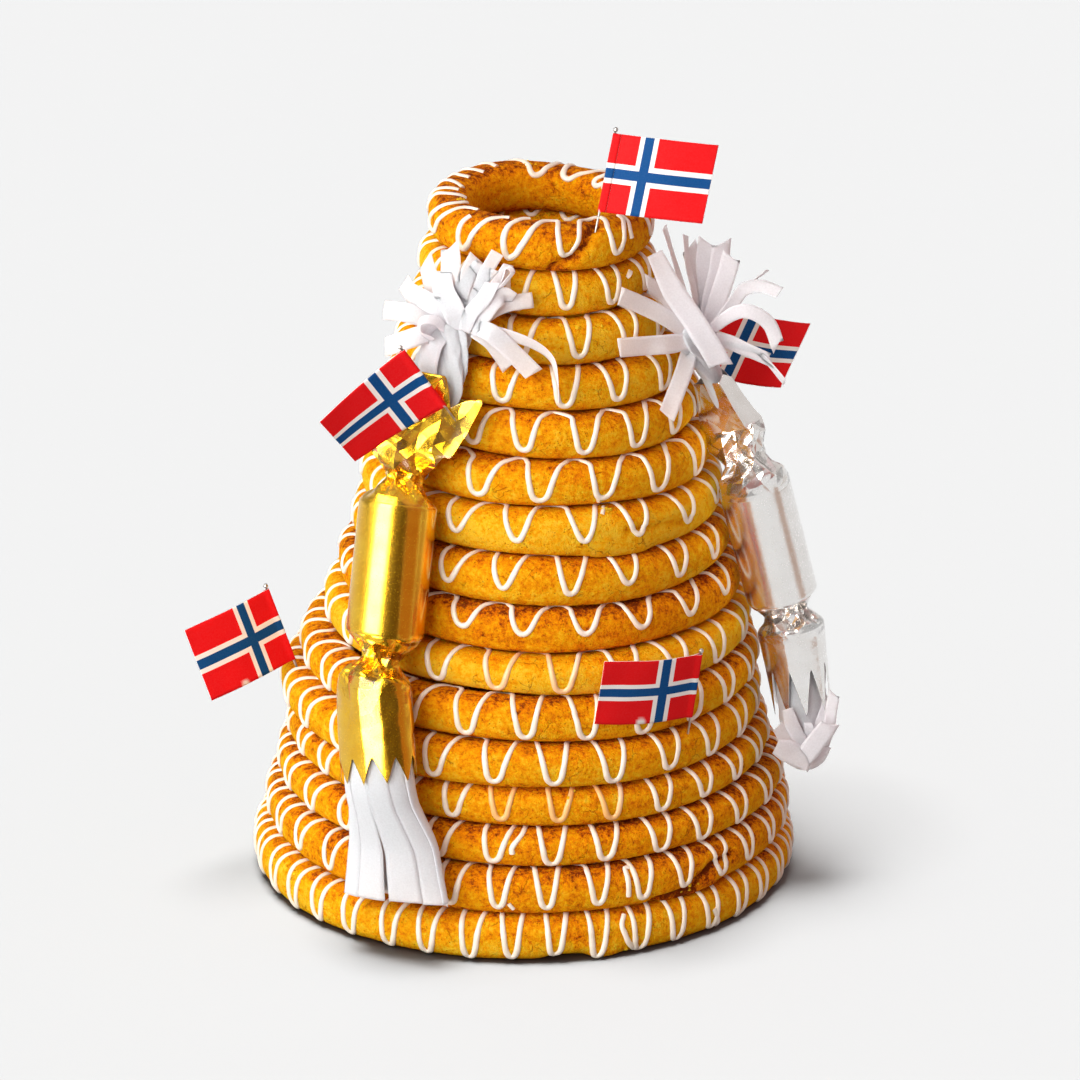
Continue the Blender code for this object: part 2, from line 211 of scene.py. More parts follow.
def setStudio():
    # backdrop paper that looks evenly lit, and throws less than half of its light back up at the cake
    paper, tree, shader = newMaterial("matt grey backdrop paper", {"Roughness": 0.9,
                                                                  "Specular IOR Level": 0.0})
    seen = put(tree, "ShaderNodeLightPath")
    bounce = put(tree, "ShaderNodeMix", {"data_type": "RGBA"},
                 {0: (seen, "Is Diffuse Ray"), 6: colour(studio["floor"]), 7: colour(studio["floorBounce"])})
    tree.links.new(bounce.outputs[2], shader.inputs["Base Color"])
    half = studio["floorSize"] / 2
    corners = [(-half, -half, 0), (half, -half, 0), (half, half, 0), (-half, half, 0)]
    floor = meshObject("floor", corners, [], [(0, 1, 2, 3)], paper)

    for name, (azimuth, elevation, distance, width, height, power) in studio["softboxes"].items():
        softbox = addLight(name, "AREA", azimuth, elevation, distance, floor, False)
        softbox.shape = "RECTANGLE"
        softbox.size, softbox.size_y = width, height
        softbox.energy = power
    azimuth, elevation, spread = studio["floorLamp"]
    above = addLight("floor light", "SUN", azimuth, elevation, 2.0, floor, True)
    above.energy = studio["floorLight"]
    above.angle = math.radians(spread)

    world = bpy.data.worlds.new("studio")
    scene.world = world
    world.use_nodes = True
    tree = world.node_tree
    sight = put(tree, "ShaderNodeTexCoord")
    split = put(tree, "ShaderNodeSeparateXYZ", None, {0: (sight, "Generated")})
    light = None
    for axis, start, end, part in (("X", 0.3, -0.9, "left"), ("Z", 0.3, 0.95, "overhead"),
                                   ("Y", 0.2, 0.9, "behind")):
        share = put(tree, "ShaderNodeMapRange", {"interpolation_type": "SMOOTHSTEP"},
                    {"Value": (split, axis), "From Min": start, "From Max": end, "To Max": studio[part]})
        light = put(tree, "ShaderNodeMath", None, {0: share, 1: studio["room"] if light is None else light})
    side = put(tree, "ShaderNodeMapRange", {"interpolation_type": "SMOOTHSTEP"},
               {"Value": (split, "X"), "From Min": -0.1, "From Max": 0.9})
    warm = put(tree, "ShaderNodeMix", {"data_type": "RGBA", "blend_type": "ADD"},
               {0: side, 6: light, 7: colour(studio["warm"])})
    tree.links.new(warm.outputs[2], tree.nodes["Background"].inputs["Color"])

    for name, (azimuth, distance, width, foot, top, tint, strength) in studio["cards"].items():
        board, tree, shader = newMaterial(name, {"Roughness": 0.9, "Base Color": colour("#000000"),
                                                 "Emission Color": colour(tint),
                                                 "Emission Strength": strength})
        middle = direction(azimuth, 0.0) * distance
        reach = Vector((-middle.y, middle.x, 0.0)).normalized() * 0.5 * width
        low, high = Vector((0.0, 0.0, foot)), Vector((0.0, 0.0, top))
        corners = [middle - reach + low, middle + reach + low, middle + reach + high, middle - reach + high]
        card = meshObject(name, [corner * mm for corner in corners], [], [(0, 1, 2, 3)], board)
        card.visible_camera = card.visible_diffuse = card.visible_shadow = card.visible_transmission = False


setCamera()
setStudio()
print("camera, lights and floor set")


dough = {
    "ropeRoundness": 2.5,       # exponent of the rope's outline: 2 is round, more is squarer
    "sides": 44,                # points round the rope
    "step": 1.5,                # millimetres between points along the rope
    "lumpSize": 26.0, "lumpHeight": 0.75,
    "dimpleSize": 8.0, "dimpleHeight": 0.32,
    "grainSize": 3.2, "grainHeight": 0.34,
    # how brown each ring is baked, from the bottom up
    "baked": (0.28, 0.48, 0.46, 0.38, 0.34, 0.38, 0.1, 0.48, 0.32, 0.12, 0.3, 0.3, 0.26, 0.12, 0.2, 0.46),
    # seams, cracks and lumps: ring, depth, half width (mm), browning, way in turn and tilt (degrees)
    "marks": (
        (15, 2.8, 2.3, 0.4, ((34, 92), (32, 70), (26, 47), (23, 18), (18, -1), (12, -18), (6, -41))),
        (15, 0.0, 7.0, -0.16, ((36, 40), (32, 5), (24, -20))),
        (9, 1.4, 1.4, 0.45, ((28, 8), (38, 5), (45, 4), (54, -1))),
        (9, -1.4, 4.5, -0.06, ((19, -46), (27, -50), (34, -48))),
        (1, 2.8, 2.0, 0.5, ((29, -50), (36, -36), (40, -13), (44, 6), (50, 14))),
        (1, -1.8, 3.8, 0.2, ((32, -60), (38, -52), (44, -36))),
        (0, 1.6, 5.0, 0.0, ((7, -62), (12, -58))),
        (0, -1.4, 4.0, 0.1, ((16, -50), (19, -44))),
        (0, 0.3, 3.0, 0.42, ((10, 16), (14, 2))),
        (0, 0.2, 2.0, 0.5, ((25, 68), (26, 58))),
        (12, 0.7, 1.2, 0.3, ((-20, 30), (-12, 26), (-6, 30))),
        (5, 0.8, 1.3, 0.3, ((-4, 30), (6, 24), (14, 26))),
        (7, 0.7, 1.2, 0.25, ((-14, -10), (-6, -14), (2, -10)))),
}

ringNames = sorted(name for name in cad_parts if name.startswith("ring_"))


def harmonics(turn):
    # the waves that describe a ring's outline and seats
    turn = np.asarray(turn)
    waves = [np.ones_like(turn)]
    for number in range(1, 6):
        waves += [np.cos(number * turn), np.sin(number * turn)]
    return np.stack(waves, axis=-1)


def smoothLine(points, count):
    # a Catmull-Rom curve through the points, each piece cut into count parts
    points = np.asarray(points, dtype=float)
    before, after = 2 * points[0] - points[1], 2 * points[-1] - points[-2]
    full = np.vstack([before, points, after])
    share = np.arange(count)[:, None] / count
    pieces = []
    for at in range(1, len(full) - 2):
        a, b, c, d = full[at - 1:at + 3]
        pieces.append(0.5 * (2 * b + (c - a) * share + (2 * a - 5 * b + 4 * c - d) * share ** 2
                             + (3 * b - 3 * c + d - a) * share ** 3))
    return np.vstack(pieces + [points[-1:]])


def unit(vector):
    return vector / np.linalg.norm(vector, axis=-1, keepdims=True)


class Ring:
    # a CAD ring read back as smooth functions of the turn round it, in millimetres
    def __init__(self, name):
        points = np.array([vertex.co[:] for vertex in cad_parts[name].data.vertices]) / mm
        low, high = (np.array(corner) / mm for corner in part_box(name))
        self.name = name
        self.centre = 0.5 * (low + high)
        self.radius = 0.25 * (high[0] - low[0] + high[1] - low[1])
        away = points[:, :2] - self.centre[:2]
        turn = np.arctan2(away[:, 1], away[:, 0])
        reach = np.hypot(away[:, 0], away[:, 1])
        order = np.argsort(turn)
        # the CAD rope's cross-sections stand more than 3 degrees apart
        stations = np.split(order, np.flatnonzero(np.diff(turn[order]) > math.radians(3.0)) + 1)
        rows = []
        for station in stations:
            middle = 0.5 * (reach[station].min() + reach[station].max())
            outside = station[reach[station] > middle]
            inside = station[reach[station] <= middle]
            if np.ptp(reach[station]) < 18.0 or np.ptp(points[station, 2]) < 14.0:
                continue                # a bored hole's edge, or half a station
            rows.append((turn[station].mean(), reach[station].min(), reach[station].max(),
                         points[inside, 2].min(), points[outside, 2].min(),
                         points[inside, 2].max(), points[outside, 2].max()))
        rows = np.array(rows)
        self.waves = np.linalg.lstsq(harmonics(rows[:, 0]), rows[:, 1:], rcond=None)[0]

    def surface(self, turn, tilt):
        # points on the rope: turn goes round the ring, tilt round the rope, 0 outwards and 90 degrees up
        inner, outer, lowIn, lowOut, highIn, highOut = np.moveaxis(harmonics(turn) @ self.waves, -1, 0)
        power = 2.0 / dough["ropeRoundness"]
        across = np.sign(np.cos(tilt)) * np.abs(np.cos(tilt)) ** power
        up = np.sign(np.sin(tilt)) * np.abs(np.sin(tilt)) ** power
        reach = 0.5 * (inner + outer) + 0.5 * (outer - inner) * across
        share = 0.5 + across            # the seats' corners stand at half the rope's width
        low = lowIn + (lowOut - lowIn) * share
        high = highIn + (highOut - highIn) * share
        return np.stack([self.centre[0] + reach * np.cos(turn), self.centre[1] + reach * np.sin(turn),
                         low + (high - low) * 0.5 * (1.0 + up)], axis=-1)


def doughMaterial():
    # almond dough, rolled by hand and baked: matt, golden with an orange-brown skin on top,
    # fine dark specks of almond skin, small open pores and short hairline cracks
    made, tree, shader = newMaterial("baked almond dough", {"Roughness": 0.75, "Specular IOR Level": 0.02,
                                                          "Subsurface Weight": 0.5,
                                                          "Subsurface Radius": (1.0, 0.4, 0.12),
                                                          "Subsurface Scale": 2.4 * mm})
    place = (put(tree, "ShaderNodeTexCoord"), "Object")
    # the browning attribute holds the baked colour and the painted shade in the creases and on the undersides
    browning = put(tree, "ShaderNodeAttribute", {"attribute_name": "browning"})
    baked = (browning, "Fac")
    # clouds, blotches and crumb: size in millimetres, and how far each shifts the browning
    for size, shift, rough in ((17.0, 0.16, 0.55), (5.0, 0.24, 0.6), (1.9, 0.44, 0.8)):
        cloud = put(tree, "ShaderNodeTexNoise", None, {"Vector": place, "Scale": 1 / (size * mm),
                                                       "Detail": 3.0, "Roughness": rough})
        moved = put(tree, "ShaderNodeMapRange", None, {"Value": cloud, "From Min": 0.25, "From Max": 0.75,
                                                       "To Min": -shift, "To Max": shift})
        baked = put(tree, "ShaderNodeMath", None, {0: baked, 1: moved})
    skin = ramp(tree, baked, ((0.0, "#F3BE2C"), (0.22, "#F1AD10"), (0.45, "#EC9704"), (0.7, "#DA7804"),
                              (0.88, "#AE5208"), (1.0, "#78310A")))
    # specks: small dark dots that gather in places
    speck = put(tree, "ShaderNodeTexVoronoi", None, {"Vector": place, "Scale": 1 / (1.25 * mm)})
    dot = put(tree, "ShaderNodeMapRange", None, {"Value": (speck, "Distance"), "From Min": 0.12,
                                                 "From Max": 0.3, "To Min": 1.0, "To Max": 0.0})
    gather = put(tree, "ShaderNodeTexNoise", None, {"Vector": place, "Scale": 1 / (3.6 * mm), "Detail": 3.0,
                                                    "Roughness": 0.6})
    where = put(tree, "ShaderNodeMapRange", None, {"Value": gather, "From Min": 0.49, "From Max": 0.6})
    specks = put(tree, "ShaderNodeMath", {"operation": "MULTIPLY"}, {0: dot, 1: where})
    # hairline cracks: the borders of stretched cells, broken up
    bent = put(tree, "ShaderNodeTexNoise", None, {"Vector": place, "Scale": 1 / (3.0 * mm), "Detail": 3.0})
    sway = put(tree, "ShaderNodeVectorMath", {"operation": "MULTIPLY_ADD"},
               {0: (bent, "Color"), 1: (4 * mm, 4 * mm, 4 * mm), 2: place})
    cell = put(tree, "ShaderNodeTexVoronoi", {"feature": "DISTANCE_TO_EDGE"}, {"Vector": sway,
                                                                               "Scale": 1 / (9.0 * mm)})
    hair = put(tree, "ShaderNodeMapRange", None, {"Value": cell, "From Min": 0.0, "From Max": 0.026,
                                                  "To Min": 1.0, "To Max": 0.0})
    broken = put(tree, "ShaderNodeTexNoise", None, {"Vector": place, "Scale": 1 / (11.0 * mm), "Detail": 2.0})
    some = put(tree, "ShaderNodeMapRange", None, {"Value": broken, "From Min": 0.54, "From Max": 0.66})
    cracks = put(tree, "ShaderNodeMath", {"operation": "MULTIPLY"}, {0: hair, 1: some})
    marks = put(tree, "ShaderNodeMath", {"operation": "MAXIMUM"}, {0: specks, 1: cracks})
    shown = put(tree, "ShaderNodeMath", {"operation": "MULTIPLY"}, {0: marks, 1: 0.66})
    mixed = put(tree, "ShaderNodeMix", {"data_type": "RGBA"}, {0: shown, 6: skin, 7: colour("#9A3C04")})
    tree.links.new(mixed.outputs[2], shader.inputs["Base Color"])
    # crumb and pores, as relief
    pore = put(tree, "ShaderNodeTexNoise", None, {"Vector": place, "Scale": 1 / (1.7 * mm), "Detail": 4.0,
                                                  "Roughness": 0.7})
    relief = put(tree, "ShaderNodeMath", {"operation": "MULTIPLY_ADD"}, {0: marks, 1: -0.5, 2: pore})
    bump = put(tree, "ShaderNodeBump", None, {"Height": relief, "Strength": 1.0, "Distance": 1.5 * mm})
    tree.links.new(bump.outputs[0], shader.inputs["Normal"])
    return made


def doughTree():
    # rolled dough: lumps, finger dimples and grain pushed in and out along the surface's own normal
    sizes = [(word + part, "Float", 0.0) for word in ("Lump ", "Dimple ", "Grain ")
             for part in ("Size", "Height")]
    tree, given = newTree("rolled dough", sizes + [("Seed", "Float", 0.0), ("Dough", "Material", None)])
    place = put(tree, "GeometryNodeInputPosition")
    push = None
    for word in ("Lump ", "Dimple ", "Grain "):
        scale = put(tree, "ShaderNodeMath", {"operation": "DIVIDE"}, {0: 1.0, 1: (given, word + "Size")})
        noise = put(tree, "ShaderNodeTexNoise", {"noise_dimensions": "4D"},
                    {"Vector": place, "W": (given, "Seed"), "Scale": scale, "Detail": 1.0})
        centred = put(tree, "ShaderNodeMath", {"operation": "SUBTRACT"}, {0: noise, 1: 0.5})
        part = put(tree, "ShaderNodeMath", {"operation": "MULTIPLY"},
                   {0: centred, 1: (given, word + "Height")})
        push = part if push is None else put(tree, "ShaderNodeMath", None, {0: push, 1: part})
    out = put(tree, "ShaderNodeVectorMath", {"operation": "SCALE"},
              {0: put(tree, "GeometryNodeInputNormal"), "Scale": push})
    moved = put(tree, "GeometryNodeSetPosition", None, {"Geometry": given, "Offset": out})
    smooth = put(tree, "GeometryNodeSetShadeSmooth", None, {0: moved})
    solid = put(tree, "GeometryNodeRealizeInstances", None, {0: smooth})
    painted = put(tree, "GeometryNodeSetMaterial", None, {0: solid, "Material": (given, "Dough")})
    put(tree, "NodeGroupOutput", None, {0: painted})
    return tree


def makeRing(ring, number, tree, material):
    steps = round(2 * math.pi * ring.radius / dough["step"])
    sides = dough["sides"]
    turn, tilt = np.meshgrid(np.arange(steps) * 2 * math.pi / steps,
                             np.arange(sides) * 2 * math.pi / sides, indexing="ij")
    points = ring.surface(turn, tilt)
    # the skin is browner on the upper side, which faces the heat
    # darker still towards the ring above, part baked colour and part painted shade; the underside is darkened
    # with painted shade
    brown = (dough["baked"][number] + 0.12 * np.sin(tilt)
             + 0.24 * np.clip(2.2 * np.sin(tilt) - 1.2, 0.0, 1.0)
             + 0.4 * np.clip(-2.5 * np.sin(tilt) - 1.2, 0.0, 1.0))
    out = unit(points - points.mean(axis=1, keepdims=True))
    for where, depth, reach, browning, way in dough["marks"]:
        if where == number:
            line = np.radians(smoothLine(way, 8))
            line = ring.surface(line[:, 0] - 0.5 * math.pi, line[:, 1])
            away = np.full(turn.shape, 1e9)
            for place in line:
                away = np.minimum(away, np.linalg.norm(points - place, axis=-1))
            near = np.exp(-(away / reach) ** 2)
            points = points - out * (depth * near)[..., None]
            brown = brown + browning * near
    if number == 0:
        points[..., 2] = np.maximum(points[..., 2], 0.0)        # the lowest ring stays on the table
    first = np.arange(steps * sides).reshape(steps, sides)
    ahead, after = np.roll(first, -1, axis=0), np.roll(first, -1, axis=1)
    corners = np.stack([first, ahead, np.roll(ahead, -1, axis=1), after], axis=-1).reshape(-1, 4)
    made = meshObject(ring.name + "_form", points.reshape(-1, 3) * mm, [], corners.tolist())
    floatAttribute(made, "browning", brown.ravel())
    values = {word.title() + " " + part: dough[word + part] * mm
              for word in ("lump", "dimple", "grain") for part in ("Size", "Height")}
    values.update({"Seed": 3.7 * number, "Dough": material})
    return runTree(made, tree, values, "baked_" + ring.name)


rings = [Ring(name) for name in ringNames]
doughSkin = doughMaterial()
ringTree = doughTree()
bakedRings = []
for number, ring in enumerate(rings):
    baked = makeRing(ring, number, ringTree, doughSkin)
    bakedRings.append(keep(baked, "dough", ring.name))
print("rings baked:", sum(len(baked.data.polygons) for baked in bakedRings), "faces")


icing = {
    "width": 2.4, "height": 1.65, "step": 0.9,     # the piped line, and the points along it
    "waver": 0.42,              # how much the line swells and thins
    # for each ring from the bottom up: loops round it, azimuth of one loop near the front,
    # how far down the loops reach and how far up they turn (degrees round the rope)
    "loops": (
        (39, -2.5, -46, 100), (34, 4.2, -20, 100), (28, 4.7, -29, 100), (28, -5.8, -24, 100),
        (25, -6.2, -28, 100), (24, -0.6, -30, 100), (21, 5.7, -26, 100), (20, -4.7, 3, 82),
        (19, 8.0, -4, 100), (18, -7.2, -4, 96), (16, -1.0, -24, 74), (17, -6.3, -22, 72),
        (15, 7.6, -24, 100), (14, -10.0, -24, 100), (14, -11.3, -24, 100), (13, 76.0, -12, 110)),
    # how many of the top ring's loops are even; the others are drawn one by one below, because there
    # the nozzle was moved quickly and wandered
    "topLoops": 2,
    "seed": 40,
    # lines drawn one by one: ring, fullness, way in turn and tilt (degrees)
    "drawn": (
        (15, 1.05, ((-42, 66), (-44, 36), (-45, 2), (-44, -14), (-42, -22), (-38, -2), (-34, 33),
                    (-30, 68), (-25, 88), (-20, 92))),
        (15, 1.1, ((-8, 106), (-12, 94), (-16, 72), (-18, 49), (-19, 14), (-18, -8), (-16, -18),
                   (-12, -4), (-8, 22), (-4, 63), (0, 90), (5, 102), (11, 106))),
        (15, 1.0, ((11, 100), (9, 61), (9, 24), (10, 1), (14, -7), (16, -1), (19, 23), (22, 72),
                   (26, 98), (31, 108), (38, 108), (42, 96), (40, 72), (38, 50), (38, 13), (40, -8),
                   (43, -6), (46, 9), (48, 37), (52, 66), (53, 84))),
        (15, 0.9, ((54, 84), (54, 54), (52, 28), (52, 8))),
        (15, 1.0, ((-46, 104), (-54, 90), (-57, 56), (-62, 19), (-67, -8), (-72, -14), (-76, -4),
                   (-70, 30), (-66, 64), (-64, 94), (-66, 118))),
        (15, 1.0, ((-80, 128), (-80, 98), (-83, 75), (-86, 52), (-88, 20), (-92, 0), (-96, 12),
                   (-94, 50), (-92, 70), (-91, 88), (-90, 106))),
        (15, 1.0, ((-97, 114), (-103, 93), (-106, 82), (-108, 60), (-112, 30), (-116, 10), (-120, 30),
                   (-120, 60), (-118, 86), (-118, 104))),
        (15, 1.0, ((-134, 108), (-132, 92), (-130, 60), (-134, 20), (-138, 6), (-142, 30), (-146, 70),
                   (-148, 100))),
        (15, 1.15, ((-160, 40), (-166, 70), (-171, 100), (-172, 128), (-175, 140), (-180, 132),
                    (-184, 106), (-188, 84), (-191, 50), (-194, 24), (-198, 40), (-196, 84), (-196, 110),
                    (-197, 131), (-202, 138), (-208, 114), (-214, 94), (-219, 60), (-222, 60),
                    (-226, 96), (-224, 118), (-225, 134), (-230, 138), (-235, 120), (-240, 90),
                    (-246, 60))),
        (14, 1.9, ((52, 37), (53, 29))),
        (10, 0.8, ((19, -12), (20, -38))),
        (9, 0.8, ((22, 88), (20, 58))),
        (2, 0.95, ((-1, 96), (-2, 55), (-4, 14), (-4, -1))),
        (1, 0.95, ((22, -10), (22, 17), (22, 64), (23, 66))),
        (1, 0.7, ((-4, -12), (-3, -30))),
        (0, 0.95, ((22, 56), (21, 24), (22, -6), (24, -45))),
        (0, 0.9, ((44, 6), (45, -12), (46, -50)))),
    # stretches that soaked into the dough: ring, from, to (degrees), how far
    "soaked": ((3, -14.0, 24.0, 0.78), (6, -16.0, 12.0, 0.6)),
    # one loop: share of the pitch across, share of the way up
    "loop": ((-0.20, 1.0), (-0.19, 0.72), (-0.155, 0.36), (-0.09, 0.08), (0.0, 0.0), (0.09, 0.07),
             (0.165, 0.3), (0.235, 0.62), (0.31, 0.9), (0.39, 1.05), (0.52, 1.2), (0.66, 1.2)),
}


def icingMaterial():
    # royal icing: sugar and egg white piped through a fine nozzle, dried satin and off white
    made, tree, shader = newMaterial("piped sugar icing", {"Roughness": 0.45, "Specular IOR Level": 0.3,
                                                           "Subsurface Weight": 0.15,
                                                           "Subsurface Radius": (1.0, 0.7, 0.5),
                                                           "Subsurface Scale": 0.8 * mm})
    place = (put(tree, "ShaderNodeTexCoord"), "Object")
    soaked = put(tree, "ShaderNodeAttribute", {"attribute_name": "soaked"})
    cloud = put(tree, "ShaderNodeTexNoise", None, {"Vector": place, "Scale": 1 / (5 * mm), "Detail": 3.0})
    cream = ramp(tree, cloud, ((0.3, "#EBDCC6"), (0.7, "#F6EADA")))
    mixed = put(tree, "ShaderNodeMix", {"data_type": "RGBA"},
                {0: (soaked, "Fac"), 6: cream, 7: colour("#F0A93A")})
    tree.links.new(mixed.outputs[2], shader.inputs["Base Color"])
    grain = put(tree, "ShaderNodeTexNoise", None, {"Vector": place, "Scale": 1 / (1.1 * mm), "Detail": 2.0})
    bump = put(tree, "ShaderNodeBump", None, {"Height": grain, "Strength": 0.25, "Distance": 0.2 * mm})
    tree.links.new(bump.outputs[0], shader.inputs["Normal"])
    return made


def icingTree():
    # a piped line that follows a drawn path and sticks to the ring under it
    tree, given = newTree("piped icing", [("Ring", "Object", None), ("Line Width", "Float", 0.0),
                                          ("Line Height", "Float", 0.0), ("Step", "Float", 0.0),
                                          ("Waver", "Float", 0.0), ("Seed", "Float", 0.0),
                                          ("Icing", "Material", None)])
    line = put(tree, "GeometryNodeMeshToCurve", None, {0: given})
    even = put(tree, "GeometryNodeResampleCurve", {"mode": "LENGTH"},
               {"Curve": line, "Length": (given, "Step")})
    under = put(tree, "GeometryNodeObjectInfo", None, {"Object": (given, "Ring")})
    nearest = put(tree, "GeometryNodeProximity", None, {0: (under, "Geometry")})
    slope = put(tree, "GeometryNodeSampleNearestSurface", {"data_type": "FLOAT_VECTOR"},
                {"Mesh": (under, "Geometry"), "Value": put(tree, "GeometryNodeInputNormal")})
    settled = put(tree, "GeometryNodeSetPosition", None,
                  {"Geometry": even, "Position": (nearest, "Position")})
    upright = put(tree, "GeometryNodeSetCurveNormal", {"mode": "FREE"}, {"Curve": settled, "Normal": slope})
    noise = put(tree, "ShaderNodeTexNoise", {"noise_dimensions": "4D"},
                {"W": (given, "Seed"), "Scale": 1 / (4 * mm), "Detail": 1.0})
    swell = put(tree, "ShaderNodeMath", {"operation": "SUBTRACT"}, {0: noise, 1: 0.5})
    waver = put(tree, "ShaderNodeMath", {"operation": "MULTIPLY_ADD"},
                {0: swell, 1: (given, "Waver"), 2: 1.0})
    flow = put(tree, "GeometryNodeInputNamedAttribute", {"data_type": "FLOAT"}, {"Name": "flow"})
    size = put(tree, "ShaderNodeMath", {"operation": "MULTIPLY"}, {0: waver, 1: flow})
    circle = put(tree, "GeometryNodeCurvePrimitiveCircle", None, {"Resolution": 8, "Radius": 0.5})
    girth = put(tree, "ShaderNodeCombineXYZ", None, {"X": (given, "Line Height"), "Y": (given, "Line Width"),
                                                     "Z": 1.0})
    outline = put(tree, "GeometryNodeTransform", None, {"Geometry": circle, "Scale": girth})
    bead = put(tree, "GeometryNodeCurveToMesh", None, {"Curve": upright, "Profile Curve": outline,
                                                       "Scale": size, "Fill Caps": True})
    smooth = put(tree, "GeometryNodeSetShadeSmooth", None, {0: bead})
    solid = put(tree, "GeometryNodeRealizeInstances", None, {0: smooth})
    painted = put(tree, "GeometryNodeSetMaterial", None, {0: solid, "Material": (given, "Icing")})
    put(tree, "NodeGroupOutput", None, {0: painted})
    return tree


def pipeRing(ring, baked, number, tree, material):
    # draws the looping line round a ring, adds the lines drawn one by one, and pipes it
    dice = random.Random(icing["seed"] + number)
    closed = number < len(rings) - 1        # only the top ring's line is left open
    count, azimuth, low, high = icing["loops"][number]
    pitch = 360.0 / count
    places = []
    for loop in range(count if closed else icing["topLoops"]):
        at = azimuth + pitch * loop + dice.uniform(-0.05, 0.05) * pitch
        reach = low + dice.uniform(-6.0, 6.0)
        lean = dice.uniform(-0.05, 0.05)
        for across, up in icing["loop"]:
            places.append((at + pitch * (across + lean * up), reach + (high - reach) * up))
    if closed:
        places.append((places[0][0] + 360.0, places[0][1]))
    lines = [(1.0, places)] + [(full, way) for where, full, way in icing["drawn"] if where == number]
    points, edges, flow, soaked = [], [], [], []
    for full, way in lines:
        path = smoothLine(way, 5)
        edges += [(len(points) + at, len(points) + at + 1) for at in range(len(path) - 1)]
        points += list(ring.surface(np.radians(path[:, 0] - 90.0), np.radians(path[:, 1])) * mm)
        flow += list(full * (1.0 + 0.12 * np.clip((20.0 - path[:, 1]) / 50.0, -0.6, 1.0)))
        around = (path[:, 0] + 180.0) % 360.0 - 180.0
        soak = np.zeros(len(path))
        for where, start, end, amount in icing["soaked"]:
            if where == number:
                inside = np.minimum(around - start, end - around) / 3.0
                soak = np.maximum(soak, amount * np.clip(inside, 0.0, 1.0))
        soaked += list(soak)
    made = meshObject(ring.name + "_path", points, edges, [])
    floatAttribute(made, "flow", flow)
    floatAttribute(made, "soaked", soaked)
    values = {"Ring": baked, "Line Width": icing["width"] * mm, "Line Height": icing["height"] * mm,
              "Step": icing["step"] * mm, "Waver": icing["waver"], "Seed": 5.1 * number, "Icing": material}
    return runTree(made, tree, values, "icing_" + ring.name[-2:])


sugar = icingMaterial()
lineTree = icingTree()
icedFaces = 0
for number, (ring, baked) in enumerate(zip(rings, bakedRings)):
    line = keep(pipeRing(ring, baked, number, lineTree, sugar), "icing")
    icedFaces += len(line.data.polygons)
print("icing piped:", icedFaces, "faces")


crumbs = {
    # where they lie: ring, turn and tilt (degrees), how many, spread (mm); and their size
    "places": ((5, 43, 84, 16, 3.2), (5, 46, 92, 8, 3.0), (6, 45, -20, 5, 4.0), (9, 22, 70, 7, 2.0),
               (10, 20, -36, 5, 1.6), (15, -172, 96, 8, 2.4), (15, -70, 104, 4, 2.0),
               (8, -12, 88, 5, 9.0), (3, 12, 86, 6, 12.0), (13, 16, 80, 5, 9.0), (1, 38, -30, 7, 4.0),
               (0, 20, -30, 5, 5.0), (2, 140, 80, 6, 14.0), (7, -140, 84, 6, 14.0),
               (11, 170, 84, 6, 12.0)),
    "size": (0.35, 1.05),
    "seed": 12,
}


def crumbTree():
    # small broken bits: pebbles of several sizes, turned any way and dented by noise
    tree, given = newTree("crumbs", [("Least", "Float", 0.0), ("Most", "Float", 0.0),
                                     ("Dough", "Material", None)])
    spots = put(tree, "GeometryNodeMeshToPoints", None, {0: given})
    pebble = put(tree, "GeometryNodeMeshIcoSphere", None, {"Radius": 1.0, "Subdivisions": 2})
    size = put(tree, "FunctionNodeRandomValue", {"data_type": "FLOAT"},
               {2: (given, "Least"), 3: (given, "Most"), "Seed": 4})
    turn = put(tree, "FunctionNodeRandomValue", {"data_type": "FLOAT_VECTOR"},
               {1: (6.28, 6.28, 6.28), "Seed": 9})
    bits = put(tree, "GeometryNodeInstanceOnPoints", None,
               {"Points": spots, "Instance": pebble, "Rotation": turn, "Scale": (size, 1)})
    solid = put(tree, "GeometryNodeRealizeInstances", None, {0: bits})
    noise = put(tree, "ShaderNodeTexNoise", None, {"Scale": 1 / (0.9 * mm), "Detail": 1.0})
    centred = put(tree, "ShaderNodeVectorMath", {"operation": "SUBTRACT"},
                  {0: (noise, "Color"), 1: (0.5, 0.5, 0.5)})
    dent = put(tree, "ShaderNodeVectorMath", {"operation": "SCALE"}, {0: centred, "Scale": 0.9 * mm})
    moved = put(tree, "GeometryNodeSetPosition", None, {"Geometry": solid, "Offset": dent})
    painted = put(tree, "GeometryNodeSetMaterial", None, {0: moved, "Material": (given, "Dough")})
    put(tree, "NodeGroupOutput", None, {0: painted})
    return tree


dice = random.Random(crumbs["seed"])
spots = []
for where, turn, tilt, count, spread in crumbs["places"]:
    ring = rings[where]
    for crumb in range(count):
        at = math.radians(turn - 90.0) + dice.gauss(0.0, 0.6) * spread / ring.radius
        spots.append(ring.surface(at, math.radians(tilt) + dice.gauss(0.0, 0.6) * spread / 12.0) * mm)
scatter = meshObject("crumb_places", spots, [], [])
least, most = crumbs["size"]
crumbBits = runTree(scatter, crumbTree(), {"Least": least * mm, "Most": most * mm, "Dough": doughSkin},
                    "crumbs")
keep(crumbBits, "dough")
print("crumbs:", len(spots))


